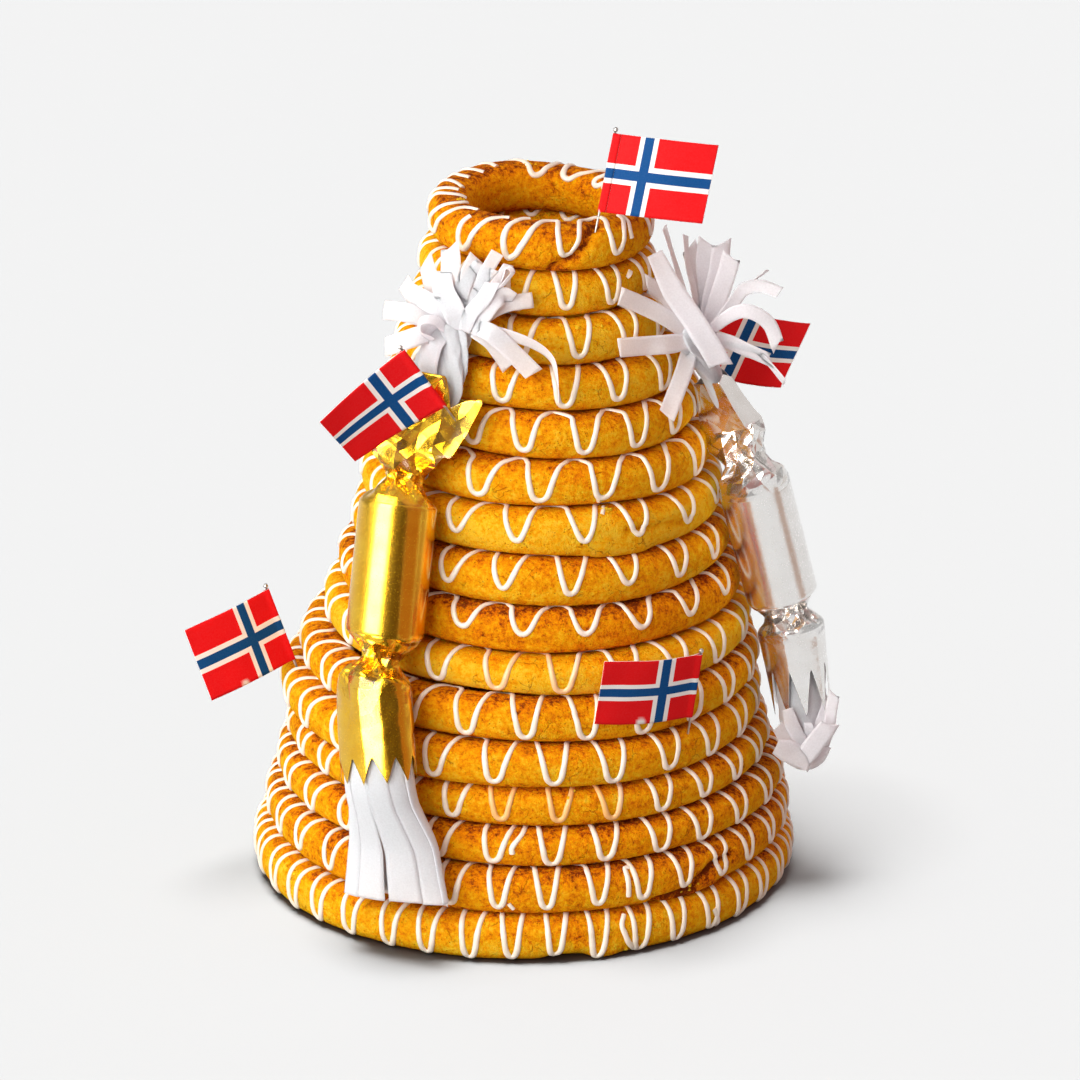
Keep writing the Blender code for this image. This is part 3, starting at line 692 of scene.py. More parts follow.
flag = {
    # millimetres: the flap glued behind, the loop round the pin, the mesh's step and the sheet's waves
    "thickness": 0.2, "flap": 3.2, "loop": 0.75, "step": 0.8, "ripple": 0.22,
    "red": "#E4141A", "blue": "#0B4A84", "white": "#F6F2EC",
    "pinSides": 14,
    # nicks with bare paper: share along and up, and reach in millimetres
    "nicks": {"flag_front": (0.55, 0.02, 2.2), "flag_low_left": (0.61, 0.0, 2.0)},
    # how the loose upper and lower corners swing out of the flat sheet, in millimetres
    "swings": {"flag_left": ((0.0, 0.0, 0.0), (-3.5, 8.0, 4.5)),
               "flag_crown": ((0.0, 11.0, -4.2), (0.0, 11.0, -4.2))},
}


def flagMaterial():
    # thin coated paper printed with the Norwegian flag: satin ink, faint fibres, a pressed fold by the pin
    made, tree, shader = newMaterial("printed flag paper", {"Roughness": 0.6, "Specular IOR Level": 0.02})
    place = (put(tree, "ShaderNodeTexCoord"), "Object")
    across = put(tree, "ShaderNodeSeparateXYZ", None, {0: (put(tree, "ShaderNodeTexCoord"), "UV")})
    # the flag is 22 by 16 parts: the cross is centred on 8 and 8, blue to 1 part and white to 2
    arms = []
    for axis, parts in (("X", 22.0), ("Y", 16.0)):
        scaled = put(tree, "ShaderNodeMath", {"operation": "MULTIPLY_ADD"},
                     {0: (across, axis), 1: parts, 2: -8.0})
        arms.append(put(tree, "ShaderNodeMath", {"operation": "ABSOLUTE"}, {0: scaled}))
    nearest = put(tree, "ShaderNodeMath", {"operation": "MINIMUM"}, {0: arms[0], 1: arms[1]})
    edge = put(tree, "ShaderNodeMath", {"operation": "MULTIPLY"}, {0: nearest, 1: 0.1})
    ink = ramp(tree, edge, ((0.0, flag["blue"]), (0.1, flag["white"]), (0.2, flag["red"])))
    ink.color_ramp.interpolation = "CONSTANT"
    fibre = put(tree, "ShaderNodeTexNoise", None, {"Vector": place, "Scale": 1 / (0.7 * mm), "Detail": 4.0,
                                                   "Roughness": 0.7})
    worn = put(tree, "ShaderNodeMapRange", None, {"Value": fibre, "From Min": 0.35, "From Max": 0.8,
                                                  "To Min": 0.0, "To Max": 0.02})
    faded = put(tree, "ShaderNodeMix", {"data_type": "RGBA"}, {0: worn, 6: ink, 7: colour("#F3E4D8")})
    bare = put(tree, "ShaderNodeMix", {"data_type": "RGBA"},
               {0: (put(tree, "ShaderNodeAttribute", {"attribute_name": "bare"}), "Fac"), 6: (faded, 2),
                7: colour(flag["white"])})
    tree.links.new(bare.outputs[2], shader.inputs["Base Color"])
    bump = put(tree, "ShaderNodeBump", None, {"Height": fibre, "Strength": 0.25, "Distance": 0.1 * mm})
    tree.links.new(bump.outputs[0], shader.inputs["Normal"])
    return made


def edgeMaterial():
    # the cut edge of the flag paper, white all through
    made, tree, shader = newMaterial("cut paper edge", {"Roughness": 0.8})
    place = (put(tree, "ShaderNodeTexCoord"), "Object")
    fibre = put(tree, "ShaderNodeTexNoise", None, {"Vector": place, "Scale": 1 / (0.5 * mm)})
    tree.links.new(ramp(tree, fibre, ((0.3, "#E9E2DA"), (0.7, "#F7F4EF"))).outputs[0],
                   shader.inputs["Base Color"])
    return made


def pinMaterial():
    # drawn steel wire: bright, with duller, slightly tarnished patches
    made, tree, shader = newMaterial("drawn steel pin wire", {"Metallic": 1.0})
    place = (put(tree, "ShaderNodeTexCoord"), "Object")
    tarnish = put(tree, "ShaderNodeTexNoise", None, {"Vector": place, "Scale": 1 / (3 * mm), "Detail": 3.0})
    tree.links.new(ramp(tree, tarnish, ((0.35, "#9A9794"), (0.65, "#C9C7C4"))).outputs[0],
                   shader.inputs["Base Color"])
    rough = put(tree, "ShaderNodeMapRange", None, {"Value": tarnish, "To Min": 0.22, "To Max": 0.42})
    tree.links.new(rough.outputs[0], shader.inputs["Roughness"])
    return made


def nodePoints(name):
    return np.array([vertex.co[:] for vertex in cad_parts[name].data.vertices]) / mm


class Flag:
    # where the CAD's pin and paper lie
    def __init__(self, name):
        wire, paper = nodePoints(name + "_pin"), nodePoints(name + "_paper")
        middle = wire.mean(axis=0)
        self.pin = np.linalg.svd(wire - middle)[2][0]
        self.pin *= np.sign(self.pin[2])
        along = (wire - middle) @ self.pin
        self.tip = middle + self.pin * along.min()
        self.wireLength = np.ptp(along)
        rise = (paper - self.tip) @ self.pin
        reach = np.linalg.norm(paper - self.tip - rise[:, None] * self.pin, axis=1)
        hoist, end = reach < reach.min() + 0.5, reach > reach.max() - 0.5
        self.low, self.height = rise[hoist].min(), np.ptp(rise[hoist])
        across = paper[end].mean(axis=0) - self.tip - (self.low + 0.5 * self.height) * self.pin
        self.length = np.linalg.norm(across)
        self.fly = unit(across)
        self.face = unit(np.cross(self.pin, self.fly))
        offset = (paper - self.tip) @ self.face
        self.bow = offset[np.argmax(np.abs(offset))]


def makePaper(name, spec, inks):
    # the sheet is folded round the pin, its flap glued to the back
    loop, flap = flag["loop"], flag["flap"]
    bend = np.linspace(0.5 * math.pi, 1.5 * math.pi, 9)
    lead = [(flap, -0.22), (0.55 * flap, -0.3), (0.3 * flap, -0.72 * loop)]
    curl = [(loop * math.cos(turn), loop * math.sin(turn)) for turn in bend[::-1]]
    sheet = [(0.3 * flap, 0.72 * loop), (0.55 * flap, 0.25), (0.8 * flap, 0.06)]
    flat = np.arange(flap, spec.length, flag["step"])
    sheet += [(out, 0.0) for out in flat] + [(spec.length, 0.0)]
    path = np.array(lead + curl + sheet)
    printed = np.where(np.arange(len(path)) < len(lead) + 5, -path[:, 0], path[:, 0]) / spec.length
    out = np.clip(path[:, 0] / spec.length, 0.0, 1.0)
    rows = np.linspace(0.0, 1.0, 25)
    share, rise = np.meshgrid(out, rows, indexing="ij")
    dice = random.Random(name)
    phase = [dice.uniform(0, 6.28) for wave in range(3)]
    wave = (np.sin(5.1 * share + 2.2 * rise + phase[0]) + 0.6 * np.sin(9.7 * share - 3.4 * rise + phase[1])
            + 0.5 * np.sin(15.0 * share + 6.0 * rise + phase[2]))
    lift = path[:, 1][:, None] + spec.bow * np.sin(math.pi * share) + flag["ripple"] * wave * share
    points = (spec.tip + (spec.low + spec.height * rise)[..., None] * spec.pin
              + path[:, 0][:, None, None] * spec.fly + lift[..., None] * spec.face)
    upper, lower = np.array(flag["swings"].get(name[6:], ((0.0, 0.0, 0.0), (0.0, 0.0, 0.0))))
    points = points + share[..., None] * (lower + rise[..., None] * (upper - lower))
    made = gridObject(name, [(points, False)], inks[0])
    made.data.materials.append(inks[1])
    layer = made.data.uv_layers.new(name="print")
    index = np.empty(len(made.data.loops), dtype=int)
    made.data.loops.foreach_get("vertex_index", index)
    flatUv = np.stack([np.repeat(printed, len(rows)), np.tile(rows, len(path))], axis=-1)
    layer.data.foreach_set("uv", flatUv[index].astype(np.float32).ravel())
    along, up, reach = flag["nicks"].get(name[6:], (0.0, 0.0, 0.01))
    away = np.hypot((printed[:, None] - along) * spec.length, (rise - up) * spec.height)
    floatAttribute(made, "bare", np.clip(2.0 - 1.6 * away / reach, 0.0, 1.0).ravel())
    thicken(made, flag["thickness"], 0.0, 1)
    return made


def gridObject(name, grids, material):
    # sheets of quads through grids of points in millimetres; a closed one joins its last column to its first
    points, faces, base = [], [], 0
    for grid, closed in grids:
        rows, columns = grid.shape[:2]
        first = base + np.arange(rows * columns).reshape(rows, columns)
        right = np.roll(first, -1, axis=1)
        quads = np.stack([first[:-1], right[:-1], right[1:], first[1:]], axis=-1)
        faces.append((quads if closed else quads[:, :-1]).reshape(-1, 4))
        points.append(grid.reshape(-1, 3))
        base += rows * columns
    made = meshObject(name, np.vstack(points) * mm, [], np.vstack(faces).tolist(), material)
    made.data.shade_smooth()
    return made


def thicken(piece, thickness, offset, rim=0):
    # gives a sheet its thickness and closes its edges
    solid = piece.modifiers.new("sheet thickness", "SOLIDIFY")
    solid.thickness = thickness * mm
    solid.offset = offset
    solid.material_offset_rim = rim
    solid.use_even_offset = False


def lathe(name, start, along, profile, sides, material):
    # a round bar: the profile lists distances along it and radii, and its ends are points
    first = unit(np.cross(along, (0.3, 1.0, 0.1)))
    second = np.cross(along, first)
    turn = np.arange(sides) * 2 * math.pi / sides
    ray = np.cos(turn)[:, None] * first + np.sin(turn)[:, None] * second
    body = [start + along * distance + ray * radius for distance, radius in profile[1:-1]]
    points = np.vstack([[start + along * profile[0][0]]] + body + [[start + along * profile[-1][0]]])
    ring = [1 + sides * row + np.arange(sides) for row in range(len(body))]
    faces = []
    for low, high in zip(ring, ring[1:]):
        faces += np.stack([low, np.roll(low, -1), np.roll(high, -1), high], axis=-1).tolist()
    faces += [(0, after, side) for side, after in zip(ring[0].tolist(), np.roll(ring[0], -1).tolist())]
    faces += [(len(points) - 1, side, after)
              for side, after in zip(ring[-1].tolist(), np.roll(ring[-1], -1).tolist())]
    made = meshObject(name, points * mm, [], faces, material)
    made.data.shade_smooth()
    return made


inks = (flagMaterial(), edgeMaterial())
wireMetal = pinMaterial()
flagNames = sorted(name[:-6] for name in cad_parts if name.endswith("_paper"))
for name in flagNames:
    spec = Flag(name)
    keep(makePaper("paper_" + name, spec, inks), "flag_paper", name + "_paper")
    length = spec.wireLength
    # a point, the wire, and a round head 2 mm across
    profile = [(0.0, 0.0), (1.2, 0.22), (2.6, 0.5), (length - 1.9, 0.5), (length - 1.75, 0.7),
               (length - 1.45, 0.92), (length - 1.0, 1.0), (length - 0.55, 0.9), (length - 0.2, 0.6),
               (length - 0.02, 0.25), (length, 0.0)]
    wire = lathe("steel_pin_" + name, spec.tip, spec.pin, profile, flag["pinSides"], wireMetal)
    keep(wire, "pin_wire", name + "_pin")
print("flags made:", len(flagNames))


gold = {
    "name": "gold_cracker", "slot": "gold_foil", "seed": 7,
    # azimuth, height and distance off the wall, from the end of the lower tassel to the upper one's knot
    "spine": ((-27.0, 25.0, 8.0), (-28.5, 50.0, 12.0), (-29.6, 76.0, 18.0), (-36.4, 114.0, 21.0),
              (-38.1, 132.0, 18.6), (-41.1, 189.5, 18.4), (-42.8, 198.0, 14.0), (-43.4, 211.0, 12.0),
              (-38.5, 238.0, 9.5), (-36.3, 260.0, 10.0), (-35.5, 267.0, 9.5)),
    # place on the spine, half width, half depth, pleats, flat facets, crumpling in millimetres
    "foil": ((2.06, 17.6, 12.4, 0.0, 0.46, 0.03), (2.6, 17.4, 13.6, 0.0, 0.46, 0.05),
             (3.05, 17.0, 14.2, 0.0, 0.62, 0.2), (3.2, 16.4, 14.0, 0.04, 0.55, 0.4),
             (3.28, 14.4, 13.0, 0.12, 0.3, 0.7), (3.4, 11.0, 10.4, 0.24, 0.0, 0.7),
             (3.55, 7.8, 7.4, 0.3, 0.0, 0.5), (3.66, 6.8, 6.4, 0.32, 0.0, 0.4),
             (3.8, 8.0, 7.8, 0.28, 0.0, 0.6), (3.93, 11.4, 11.2, 0.18, 0.0, 0.6),
             (4.02, 14.8, 14.8, 0.06, 0.0, 0.3), (4.05, 16.1, 16.1, 0.0, 0.0, 0.0),
             (4.06, 16.3, 16.3, 0.0, 0.0, 0.0), (5.0, 16.4, 16.4, 0.0, 0.0, 0.0),
             (5.03, 16.1, 16.1, 0.0, 0.0, 0.0), (5.12, 13.4, 13.2, 0.1, 0.0, 0.4),
             (5.3, 9.8, 9.6, 0.24, 0.0, 0.6), (5.7, 7.0, 6.6, 0.32, 0.0, 0.4),
             (6.0, 9.2, 8.4, 0.26, 0.3, 0.7), (6.4, 14.6, 11.6, 0.12, 0.8, 0.8),
             (7.0, 20.4, 13.5, 0.0, 1.0, 0.42), (7.5, 22.6, 13.5, 0.0, 1.0, 0.34),
             (8.0, 24.0, 12.5, 0.0, 1.0, 0.28)),
    "necks": (3.66, 5.7), "pleats": 8, "teeth": 10, "toothTop": 2.33,
    # folds of the skirt and of the mouth: turn round the foil, and reach
    "skirt": ((0, 1.0), (36, 1.0), (98, 1.04), (112, 0.965), (130, 1.02), (160, 0.98), (185, 1.0),
              (228, 1.0), (275, 1.0), (320, 1.0)),
    "mouth": ((0, 1.0), (30, 0.75), (74, 1.5), (173, 0.86), (180, 1.02), (215, 0.6), (262, 0.6),
              (310, 0.6)),
    # how far the mouth's edge dips, in millimetres
    "dips": ((0, 0.0), (40, 3.0), (68, -2.0), (135, -4.0), (152, 7.0), (166, 2.0), (180, 0.0),
             (230, 6.0), (300, 4.0)),
    "colours": ("#E6B020", "#EDBD2E"),
}

silver = {
    "name": "silver_cracker", "slot": "silver_foil", "seed": 23,
    "spine": ((78.0, 50.0, 15.0), (78.0, 62.0, 17.0), (78.0, 76.0, 19.5), (77.0, 116.0, 18.8),
              (78.0, 128.0, 17.8), (74.0, 182.0, 17.8), (75.0, 190.0, 17.0), (79.0, 202.0, 13.5),
              (75.0, 228.0, 10.5), (68.0, 246.0, 10.5), (67.0, 253.0, 10.0)),
    "foil": ((2.06, 14.0, 12.6, 0.0, 0.5, 0.03), (2.6, 14.4, 13.6, 0.0, 0.4, 0.03),
             (2.95, 14.8, 14.6, 0.0, 0.3, 0.06), (3.05, 14.7, 14.5, 0.02, 0.2, 0.3),
             (3.13, 13.2, 12.8, 0.12, 0.0, 0.8), (3.3, 10.6, 10.0, 0.2, 0.0, 0.9),
             (3.5, 8.8, 8.2, 0.24, 0.0, 0.7), (3.72, 10.6, 10.4, 0.2, 0.0, 0.8),
             (3.92, 13.4, 13.2, 0.1, 0.0, 0.6), (3.99, 15.0, 15.0, 0.0, 0.0, 0.0),
             (4.0, 15.2, 15.2, 0.0, 0.0, 0.0), (4.97, 15.2, 15.2, 0.0, 0.0, 0.0),
             (5.02, 15.1, 15.1, 0.0, 0.0, 0.2), (5.25, 13.6, 13.4, 0.1, 0.2, 0.9),
             (5.62, 10.8, 10.6, 0.16, 0.2, 0.9), (6.0, 7.8, 7.6, 0.22, 0.0, 0.7),
             (6.3, 10.4, 9.8, 0.12, 0.6, 0.8), (6.6, 12.2, 11.8, 0.04, 1.0, 0.6),
             (7.05, 12.8, 12.6, 0.0, 1.0, 0.25), (7.5, 10.8, 9.6, 0.0, 1.0, 0.2),
             (8.0, 8.4, 7.2, 0.0, 1.0, 0.2)),
    "necks": (3.5, 6.0), "pleats": 7, "teeth": 9, "toothTop": 2.62,
    "skirt": ((0, 1.0), (60, 1.0), (120, 1.0), (180, 1.0), (240, 1.0), (300, 1.0)),
    "mouth": ((38, 1.2), (90, 1.0), (150, 0.8), (210, 0.9), (275, 1.15)),
    "dips": ((0, 2.0), (70, 0.0), (110, 9.0), (140, 5.0), (180, 0.0), (260, 4.0)),
    "colours": ("#E4E1DE", "#EAE8E6"),
}

foilSheet = {
    "columns": 132, "step": 0.9, "thickness": 0.14,
    # how far the pleats turn for each millimetre, in radians, and how far from a neck they run
    "twist": 0.05, "neckReach": 22.0,
    # places on the spine: where the teeth's slant ends, where the skirt's folds end, and where the
    # mouth's folds and its dips start
    "waist": 3.0, "skirtTop": 3.6, "mouthStart": 5.5, "throat": 7.0,
}


def towerAt(height):
    # the tower's axis and its radius to the outside of the rings, at a height
    middles = [ring.centre[2] for ring in rings]
    values = zip(*[(ring.centre[0], ring.centre[1], ring.radius) for ring in rings])
    return [np.interp(height, middles, value) for value in values]


def wallPoint(azimuth, height, standoff):
    # a place on the tower's wall, or off it by the standoff
    axisX, axisY, radius = towerAt(height)
    reach, turn = radius + standoff, math.radians(azimuth)
    return np.array((axisX + reach * math.sin(turn), axisY - reach * math.cos(turn), height))


class Spine:
    # the line that a cracker hangs along, with directions square to it
    def __init__(self, places):
        knots = np.array([wallPoint(*place) for place in places])
        self.place = np.linspace(0.0, len(knots) - 1.0, 24 * (len(knots) - 1) + 1)
        line = np.stack([np.interp(self.place, np.arange(len(knots)), knots[:, axis])
                         for axis in range(3)], axis=-1)
        # its corners are rounded over this many points each way; for that both ends are carried on straight
        reach = 6
        before = (line[0] - line[reach]) * np.arange(reach, 0, -1)[:, None] / reach
        after = (line[-1] - line[-1 - reach]) * np.arange(1, reach + 1)[:, None] / reach
        padded = np.vstack([line[0] + before, line, line[-1] + after])
        weights = np.hanning(2 * reach + 3)[1:-1]
        weights /= weights.sum()
        self.line = np.stack([np.convolve(padded[:, axis], weights, "valid") for axis in range(3)], axis=-1)
        self.up = unit(np.gradient(self.line, axis=0))
        axisX, axisY = towerAt(self.line[:, 2])[:2]
        away = self.line - np.stack([axisX, axisY, self.line[:, 2]], axis=-1)
        self.side = unit(np.cross(away, self.up))
        self.out = np.cross(self.up, self.side)
        self.run = np.concatenate([[0.0], np.cumsum(np.linalg.norm(np.diff(self.line, axis=0), axis=1))])

    def runAt(self, place):
        return np.interp(place, self.place, self.run)

    def at(self, run):
        # point, side, out and up at a distance along the spine
        return [np.stack([np.interp(run, self.run, values[:, axis]) for axis in range(3)], axis=-1)
                for values in (self.line, self.side, self.out, self.up)]


def crumpled(across, along, cells, dice):
    # creased foil: random heights on a lattice joined by flat triangles, so many cells round it
    rows = 97
    heights = np.array([[dice.uniform(-1, 1) for column in range(cells)] for row in range(rows)])
    column, row = np.floor(across).astype(int), np.floor(along).astype(int)
    right, ahead = across - column, along - row
    (a, b), (c, d) = [[heights[(row + down) % rows, (column + over) % cells] for over in (0, 1)]
                      for down in (0, 1)]
    near = a + (b - a) * right + (c - a) * ahead
    far = d + (c - d) * (1 - right) + (b - d) * (1 - ahead)
    return np.where(right + ahead < 1.0, near, far)


def pleated(turn, count, dice):
    # sharp folds round a neck, uneven in width and depth
    at = [(fold + dice.uniform(-0.3, 0.3)) * math.pi / count for fold in range(2 * count)]
    deep = [(1 if fold % 2 else -1) * dice.uniform(0.55, 1.0) for fold in range(2 * count)]
    return np.interp(turn, at, deep, period=2 * math.pi)


def wrapped(spine, stations, turn, run, dice, necks, pleats, folds, crease=(9, 6.5)):
    # the wrap's points for each turn and distance along: stations are keyed by their distance
    keys = spine.runAt([station[0] for station in stations])
    width, depth, pleat, facet, dent = (np.interp(run, keys, [station[column] for station in stations])
                                        for column in range(1, 6))
    shape = np.zeros_like(run)
    for neck in necks:
        middle = spine.runAt(neck)
        near = np.abs(run - middle) < foilSheet["neckReach"]
        fold = pleated(turn + foilSheet["twist"] * (run - middle), pleats, dice)
        fold = 0.9 * fold + 0.12 * pleated(turn - 0.04 * (run - middle), int(1.7 * pleats), dice)
        shape = np.where(near, fold, shape)
    swell = 1.0 + pleat * shape
    across, away = np.cos(turn) * swell, np.sin(turn) * swell
    for corners, inside in folds:
        at = np.radians([corner[0] for corner in corners])
        reach = np.array([corner[1] for corner in corners])
        flatAcross = np.interp(turn, at, reach * np.cos(at), period=2 * math.pi)
        flatAway = np.interp(turn, at, reach * np.sin(at), period=2 * math.pi)
        share = facet * inside
        across = across + share * (flatAcross - across)
        away = away + share * (flatAway - away)
    cells, length = crease
    ripple = 0.35 * np.sin(3.0 * turn + 0.13 * run)
    share = turn / (2 * math.pi)
    coarse = crumpled(share * cells + ripple, run / length + 0.3 * np.sin(2 * turn), cells, dice)
    fine = crumpled(share * 17 - ripple, run / 4.2 + ripple, 17, dice)
    relief = 0.8 * coarse + 0.16 * fine
    across = width * across + dent * relief * np.cos(turn)
    away = depth * away + dent * relief * np.sin(turn)
    point, side, out, up = spine.at(run)
    return point + across[..., None] * side + away[..., None] * out


def foilMaterial(name, dark, light, coat):
    # metallised paper foil, rolled: mirror-like along the roll, with a fine grain that breaks its reflections
    made, tree, shader = newMaterial(name, {"Metallic": 1.0, "Coat Weight": coat, "Coat Roughness": 0.2,
                                             "Coat IOR": 1.8})
    place = (put(tree, "ShaderNodeTexCoord"), "Object")
    cloud = put(tree, "ShaderNodeTexNoise", None, {"Vector": place, "Scale": 1 / (9 * mm), "Detail": 3.0})
    tree.links.new(ramp(tree, cloud, ((0.35, dark), (0.65, light))).outputs[0], shader.inputs["Base Color"])
    grain = put(tree, "ShaderNodeTexNoise", None, {"Vector": place, "Scale": 1 / (0.55 * mm), "Detail": 2.0,
                                                   "Roughness": 0.6})
    rough = put(tree, "ShaderNodeMapRange", None, {"Value": grain, "From Min": 0.3, "From Max": 0.7,
                                                   "To Min": 0.16, "To Max": 0.28})
    tree.links.new(rough.outputs[0], shader.inputs["Roughness"])
    drawn = put(tree, "ShaderNodeMapping", {"vector_type": "POINT"},
                {"Vector": place, "Scale": (1.0, 1.0, 0.04)})
    streak = put(tree, "ShaderNodeTexNoise", None, {"Vector": drawn, "Scale": 1 / (1.6 * mm), "Detail": 2.0})
    texture = put(tree, "ShaderNodeMath", {"operation": "MULTIPLY_ADD"}, {0: streak, 1: 2.2, 2: grain})
    relief = put(tree, "ShaderNodeMath", {"operation": "MULTIPLY"}, {0: texture, 1: 0.016})
    # creases where the foil was twisted or crushed: straight folds in several directions, which cross
    # and leave flat facets between them; sizes and heights in millimetres
    soft = put(tree, "ShaderNodeTexNoise", None, {"Vector": place, "Scale": 1 / (15 * mm), "Detail": 0.0})
    bent = put(tree, "ShaderNodeVectorMath", {"operation": "MULTIPLY_ADD"},
               {0: (soft, "Color"), 1: (9 * mm, 9 * mm, 9 * mm), 2: place})
    crush = put(tree, "ShaderNodeAttribute", {"attribute_name": "crush"})
    for size, slope, way in ((6.1, 0.42, (0.62, 0.3, 0.72)), (4.7, 0.38, (-0.66, 0.28, 0.7)),
                             (7.9, 0.5, (0.8, -0.6, 0.1)), (3.3, 0.3, (0.2, 0.85, -0.48))):
        reach = put(tree, "ShaderNodeVectorMath", {"operation": "DOT_PRODUCT"},
                    {0: bent, 1: [part / (size * mm) for part in way]})
        fold = put(tree, "ShaderNodeMath", {"operation": "PINGPONG"}, {0: (reach, "Value"), 1: 1.0})
        deep = put(tree, "ShaderNodeMath", {"operation": "MULTIPLY"}, {0: fold, 1: (crush, "Fac")})
        relief = put(tree, "ShaderNodeMath", {"operation": "MULTIPLY_ADD"},
                     {0: deep, 1: size * slope, 2: relief})
    bump = put(tree, "ShaderNodeBump", None, {"Height": relief, "Strength": 1.0, "Distance": mm})
    tree.links.new(bump.outputs[0], shader.inputs["Normal"])
    return made


def makeFoil(cracker, spine, material):
    dice = random.Random(cracker["seed"])
    stations = cracker["foil"]
    start, end = spine.runAt(stations[0][0]), spine.runAt(stations[-1][0])
    tooth, waist = spine.runAt(cracker["toothTop"]), spine.runAt(foilSheet["waist"])
    columns = foilSheet["columns"]
    run, turn = np.meshgrid(np.linspace(start, end, round((end - start) / foilSheet["step"])),
                            np.arange(columns) * 2 * math.pi / columns, indexing="ij")
    # the pinked lower edge, and the dips of the mouth
    jag = np.abs((turn * cracker["teeth"] / (2 * math.pi)) % 1.0 - 0.5) * 2.0
    edge = start + (tooth - start) * jag
    run = np.where(run < waist, edge + (run - start) / (waist - start) * (waist - edge), run)
    throat = spine.runAt(foilSheet["throat"])
    at, drop = np.transpose(cracker["dips"])
    dip = np.interp(turn, np.radians(at), drop, period=2 * math.pi)
    run = np.where(run > throat, throat + (run - throat) * (end - dip - throat) / (end - throat), run)
    folds = ((cracker["skirt"], run < spine.runAt(foilSheet["skirtTop"])),
             (cracker["mouth"], run > spine.runAt(foilSheet["mouthStart"])))
    points = wrapped(spine, stations, turn, run, dice, cracker["necks"], cracker["pleats"], folds)
    made = gridObject(cracker["name"] + "_wrap", [(points, True)], material)
    keys = spine.runAt([station[0] for station in stations])
    floatAttribute(made, "crush", np.interp(run, keys, [station[5] for station in stations]).ravel())
    made.data.set_sharp_from_angle(angle=math.radians(38))
    thicken(made, foilSheet["thickness"], -1.0)
    return keep(made, cracker["slot"], cracker["name"] + "_foil")


goldFoil = foilMaterial("gold lacquered paper foil", *gold["colours"], 0.24)
silverFoil = foilMaterial("silver paper foil", *silver["colours"], 0.0)
goldSpine, silverSpine = Spine(gold["spine"]), Spine(silver["spine"])
makeFoil(gold, goldSpine, goldFoil)
makeFoil(silver, silverSpine, silverFoil)
print("foil wrapped")


tissue = {"thickness": 0.16, "columns": 7, "crease": 0.32, "ripple": 0.3}

goldTissue = {
    # place, half width, half depth, pleats, flat facets, crumpling
    "stalk": ((7.2, 10.0, 2.4, 0.0, 0.0, 0.2), (7.7, 12.0, 2.8, 0.08, 0.0, 0.3),
              (8.0, 13.0, 3.6, 0.14, 0.0, 0.4), (8.55, 10.8, 4.2, 0.22, 0.0, 0.6),
              (9.0, 10.0, 5.0, 0.25, 0.0, 0.9), (9.4, 7.5, 4.5, 0.2, 0.0, 0.9),
              (9.7, 2.0, 1.5, 0.0, 0.0, 0.3)),
    "neck": 8.6, "faces": -18.0,
    # strip: width, turn of its face at the start and at the end, slant of the cut end, and its way
    "strips": (
        (10.5, 0, 10, 2.0, ((-32, 258, 13), (-29, 271, 13), (-27, 280, 10), (-23, 286, 9))),
        (9.0, 10, -15, 3.0, ((-36, 258, 11), (-36, 271, 14), (-37, 283, 13), (-40, 292, 11))),
        (7.0, -10, 20, -1.0, ((-32, 260, 11), (-31, 274, 13), (-30, 282, 11), (-28, 289, 9))),
        (5.5, 0, 15, 0.0, ((-28, 260, 12), (-25, 272, 11), (-23, 283, 9), (-19, 292, 8))),
        (4.5, 20, 35, 0.5, ((-27, 260, 11), (-23, 271, 11), (-19, 278, 8), (-14, 287, 7))),
        (3.5, 70, 80, 0.0, ((-27, 262, 9), (-20, 272, 9), (-13, 282, 11), (-11, 286, 13), (-14, 286, 9),
                            (-17, 278, 5))),
        (7.0, -15, 20, 0.5, ((-25, 261, 14), (-20, 268, 15), (-17, 273, 13), (-14, 275, 10), (-10, 273, 8))),
        (6.5, 10, 0, 0.0, ((-25, 262, 12), (-19, 268, 11), (-12, 271, 8), (-2, 272, 5))),
        (7.8, 0, -10, -1.0, ((-26, 262, 13), (-18, 262, 16), (-14, 258, 14), (-9, 251, 10), (-3, 244, 8))),
        (5.5, 10, 75, 0.0, ((-24, 262, 12), (-14, 261, 13), (-3, 257, 12), (3, 251, 10), (5, 243, 8),
                            (6, 232, 6))),
        (6.0, -10, 10, 1.0, ((-25, 260, 13), (-19, 257, 12), (-16, 251, 9), (-13, 245, 6))),
        (7.0, 10, -10, 1.0, ((-37, 259, 11), (-43, 267, 16), (-48, 270, 19), (-54, 275, 20))),
        (8.0, 0, 10, 0.0, ((-38, 258, 12), (-43, 263, 18), (-48, 265, 23), (-56, 264, 26))),
        (8.5, 0, -20, 2.0, ((-36, 260, 11), (-40, 269, 14), (-44, 277, 15), (-50, 284, 14))),
        (8.0, -10, 15, -1.0, ((-38, 257, 13), (-40, 258, 20), (-44, 256, 26), (-51, 251, 28))),
        (8.0, 10, 0, 1.0, ((-33, 260, 14), (-36, 268, 18), (-42, 271, 20), (-49, 272, 20))),
        (9.0, 0, 10, 0.0, ((-36, 259, 13), (-38, 255, 18), (-39, 248, 18), (-40, 239, 15))),
        (5.0, 40, 60, 0.0, ((-35, 259, 14), (-36, 265, 22), (-39, 265, 26), (-40, 260, 24), (-38, 256, 19))),
        (9.5, 0, 0, -1.5, ((-31, 260, 14), (-31, 268, 17), (-36, 275, 17), (-41, 282, 14))),
        (6.5, 0, -15, 1.0, ((-28, 260, 14), (-25, 268, 16), (-21, 274, 14), (-19, 280, 10)))),
}

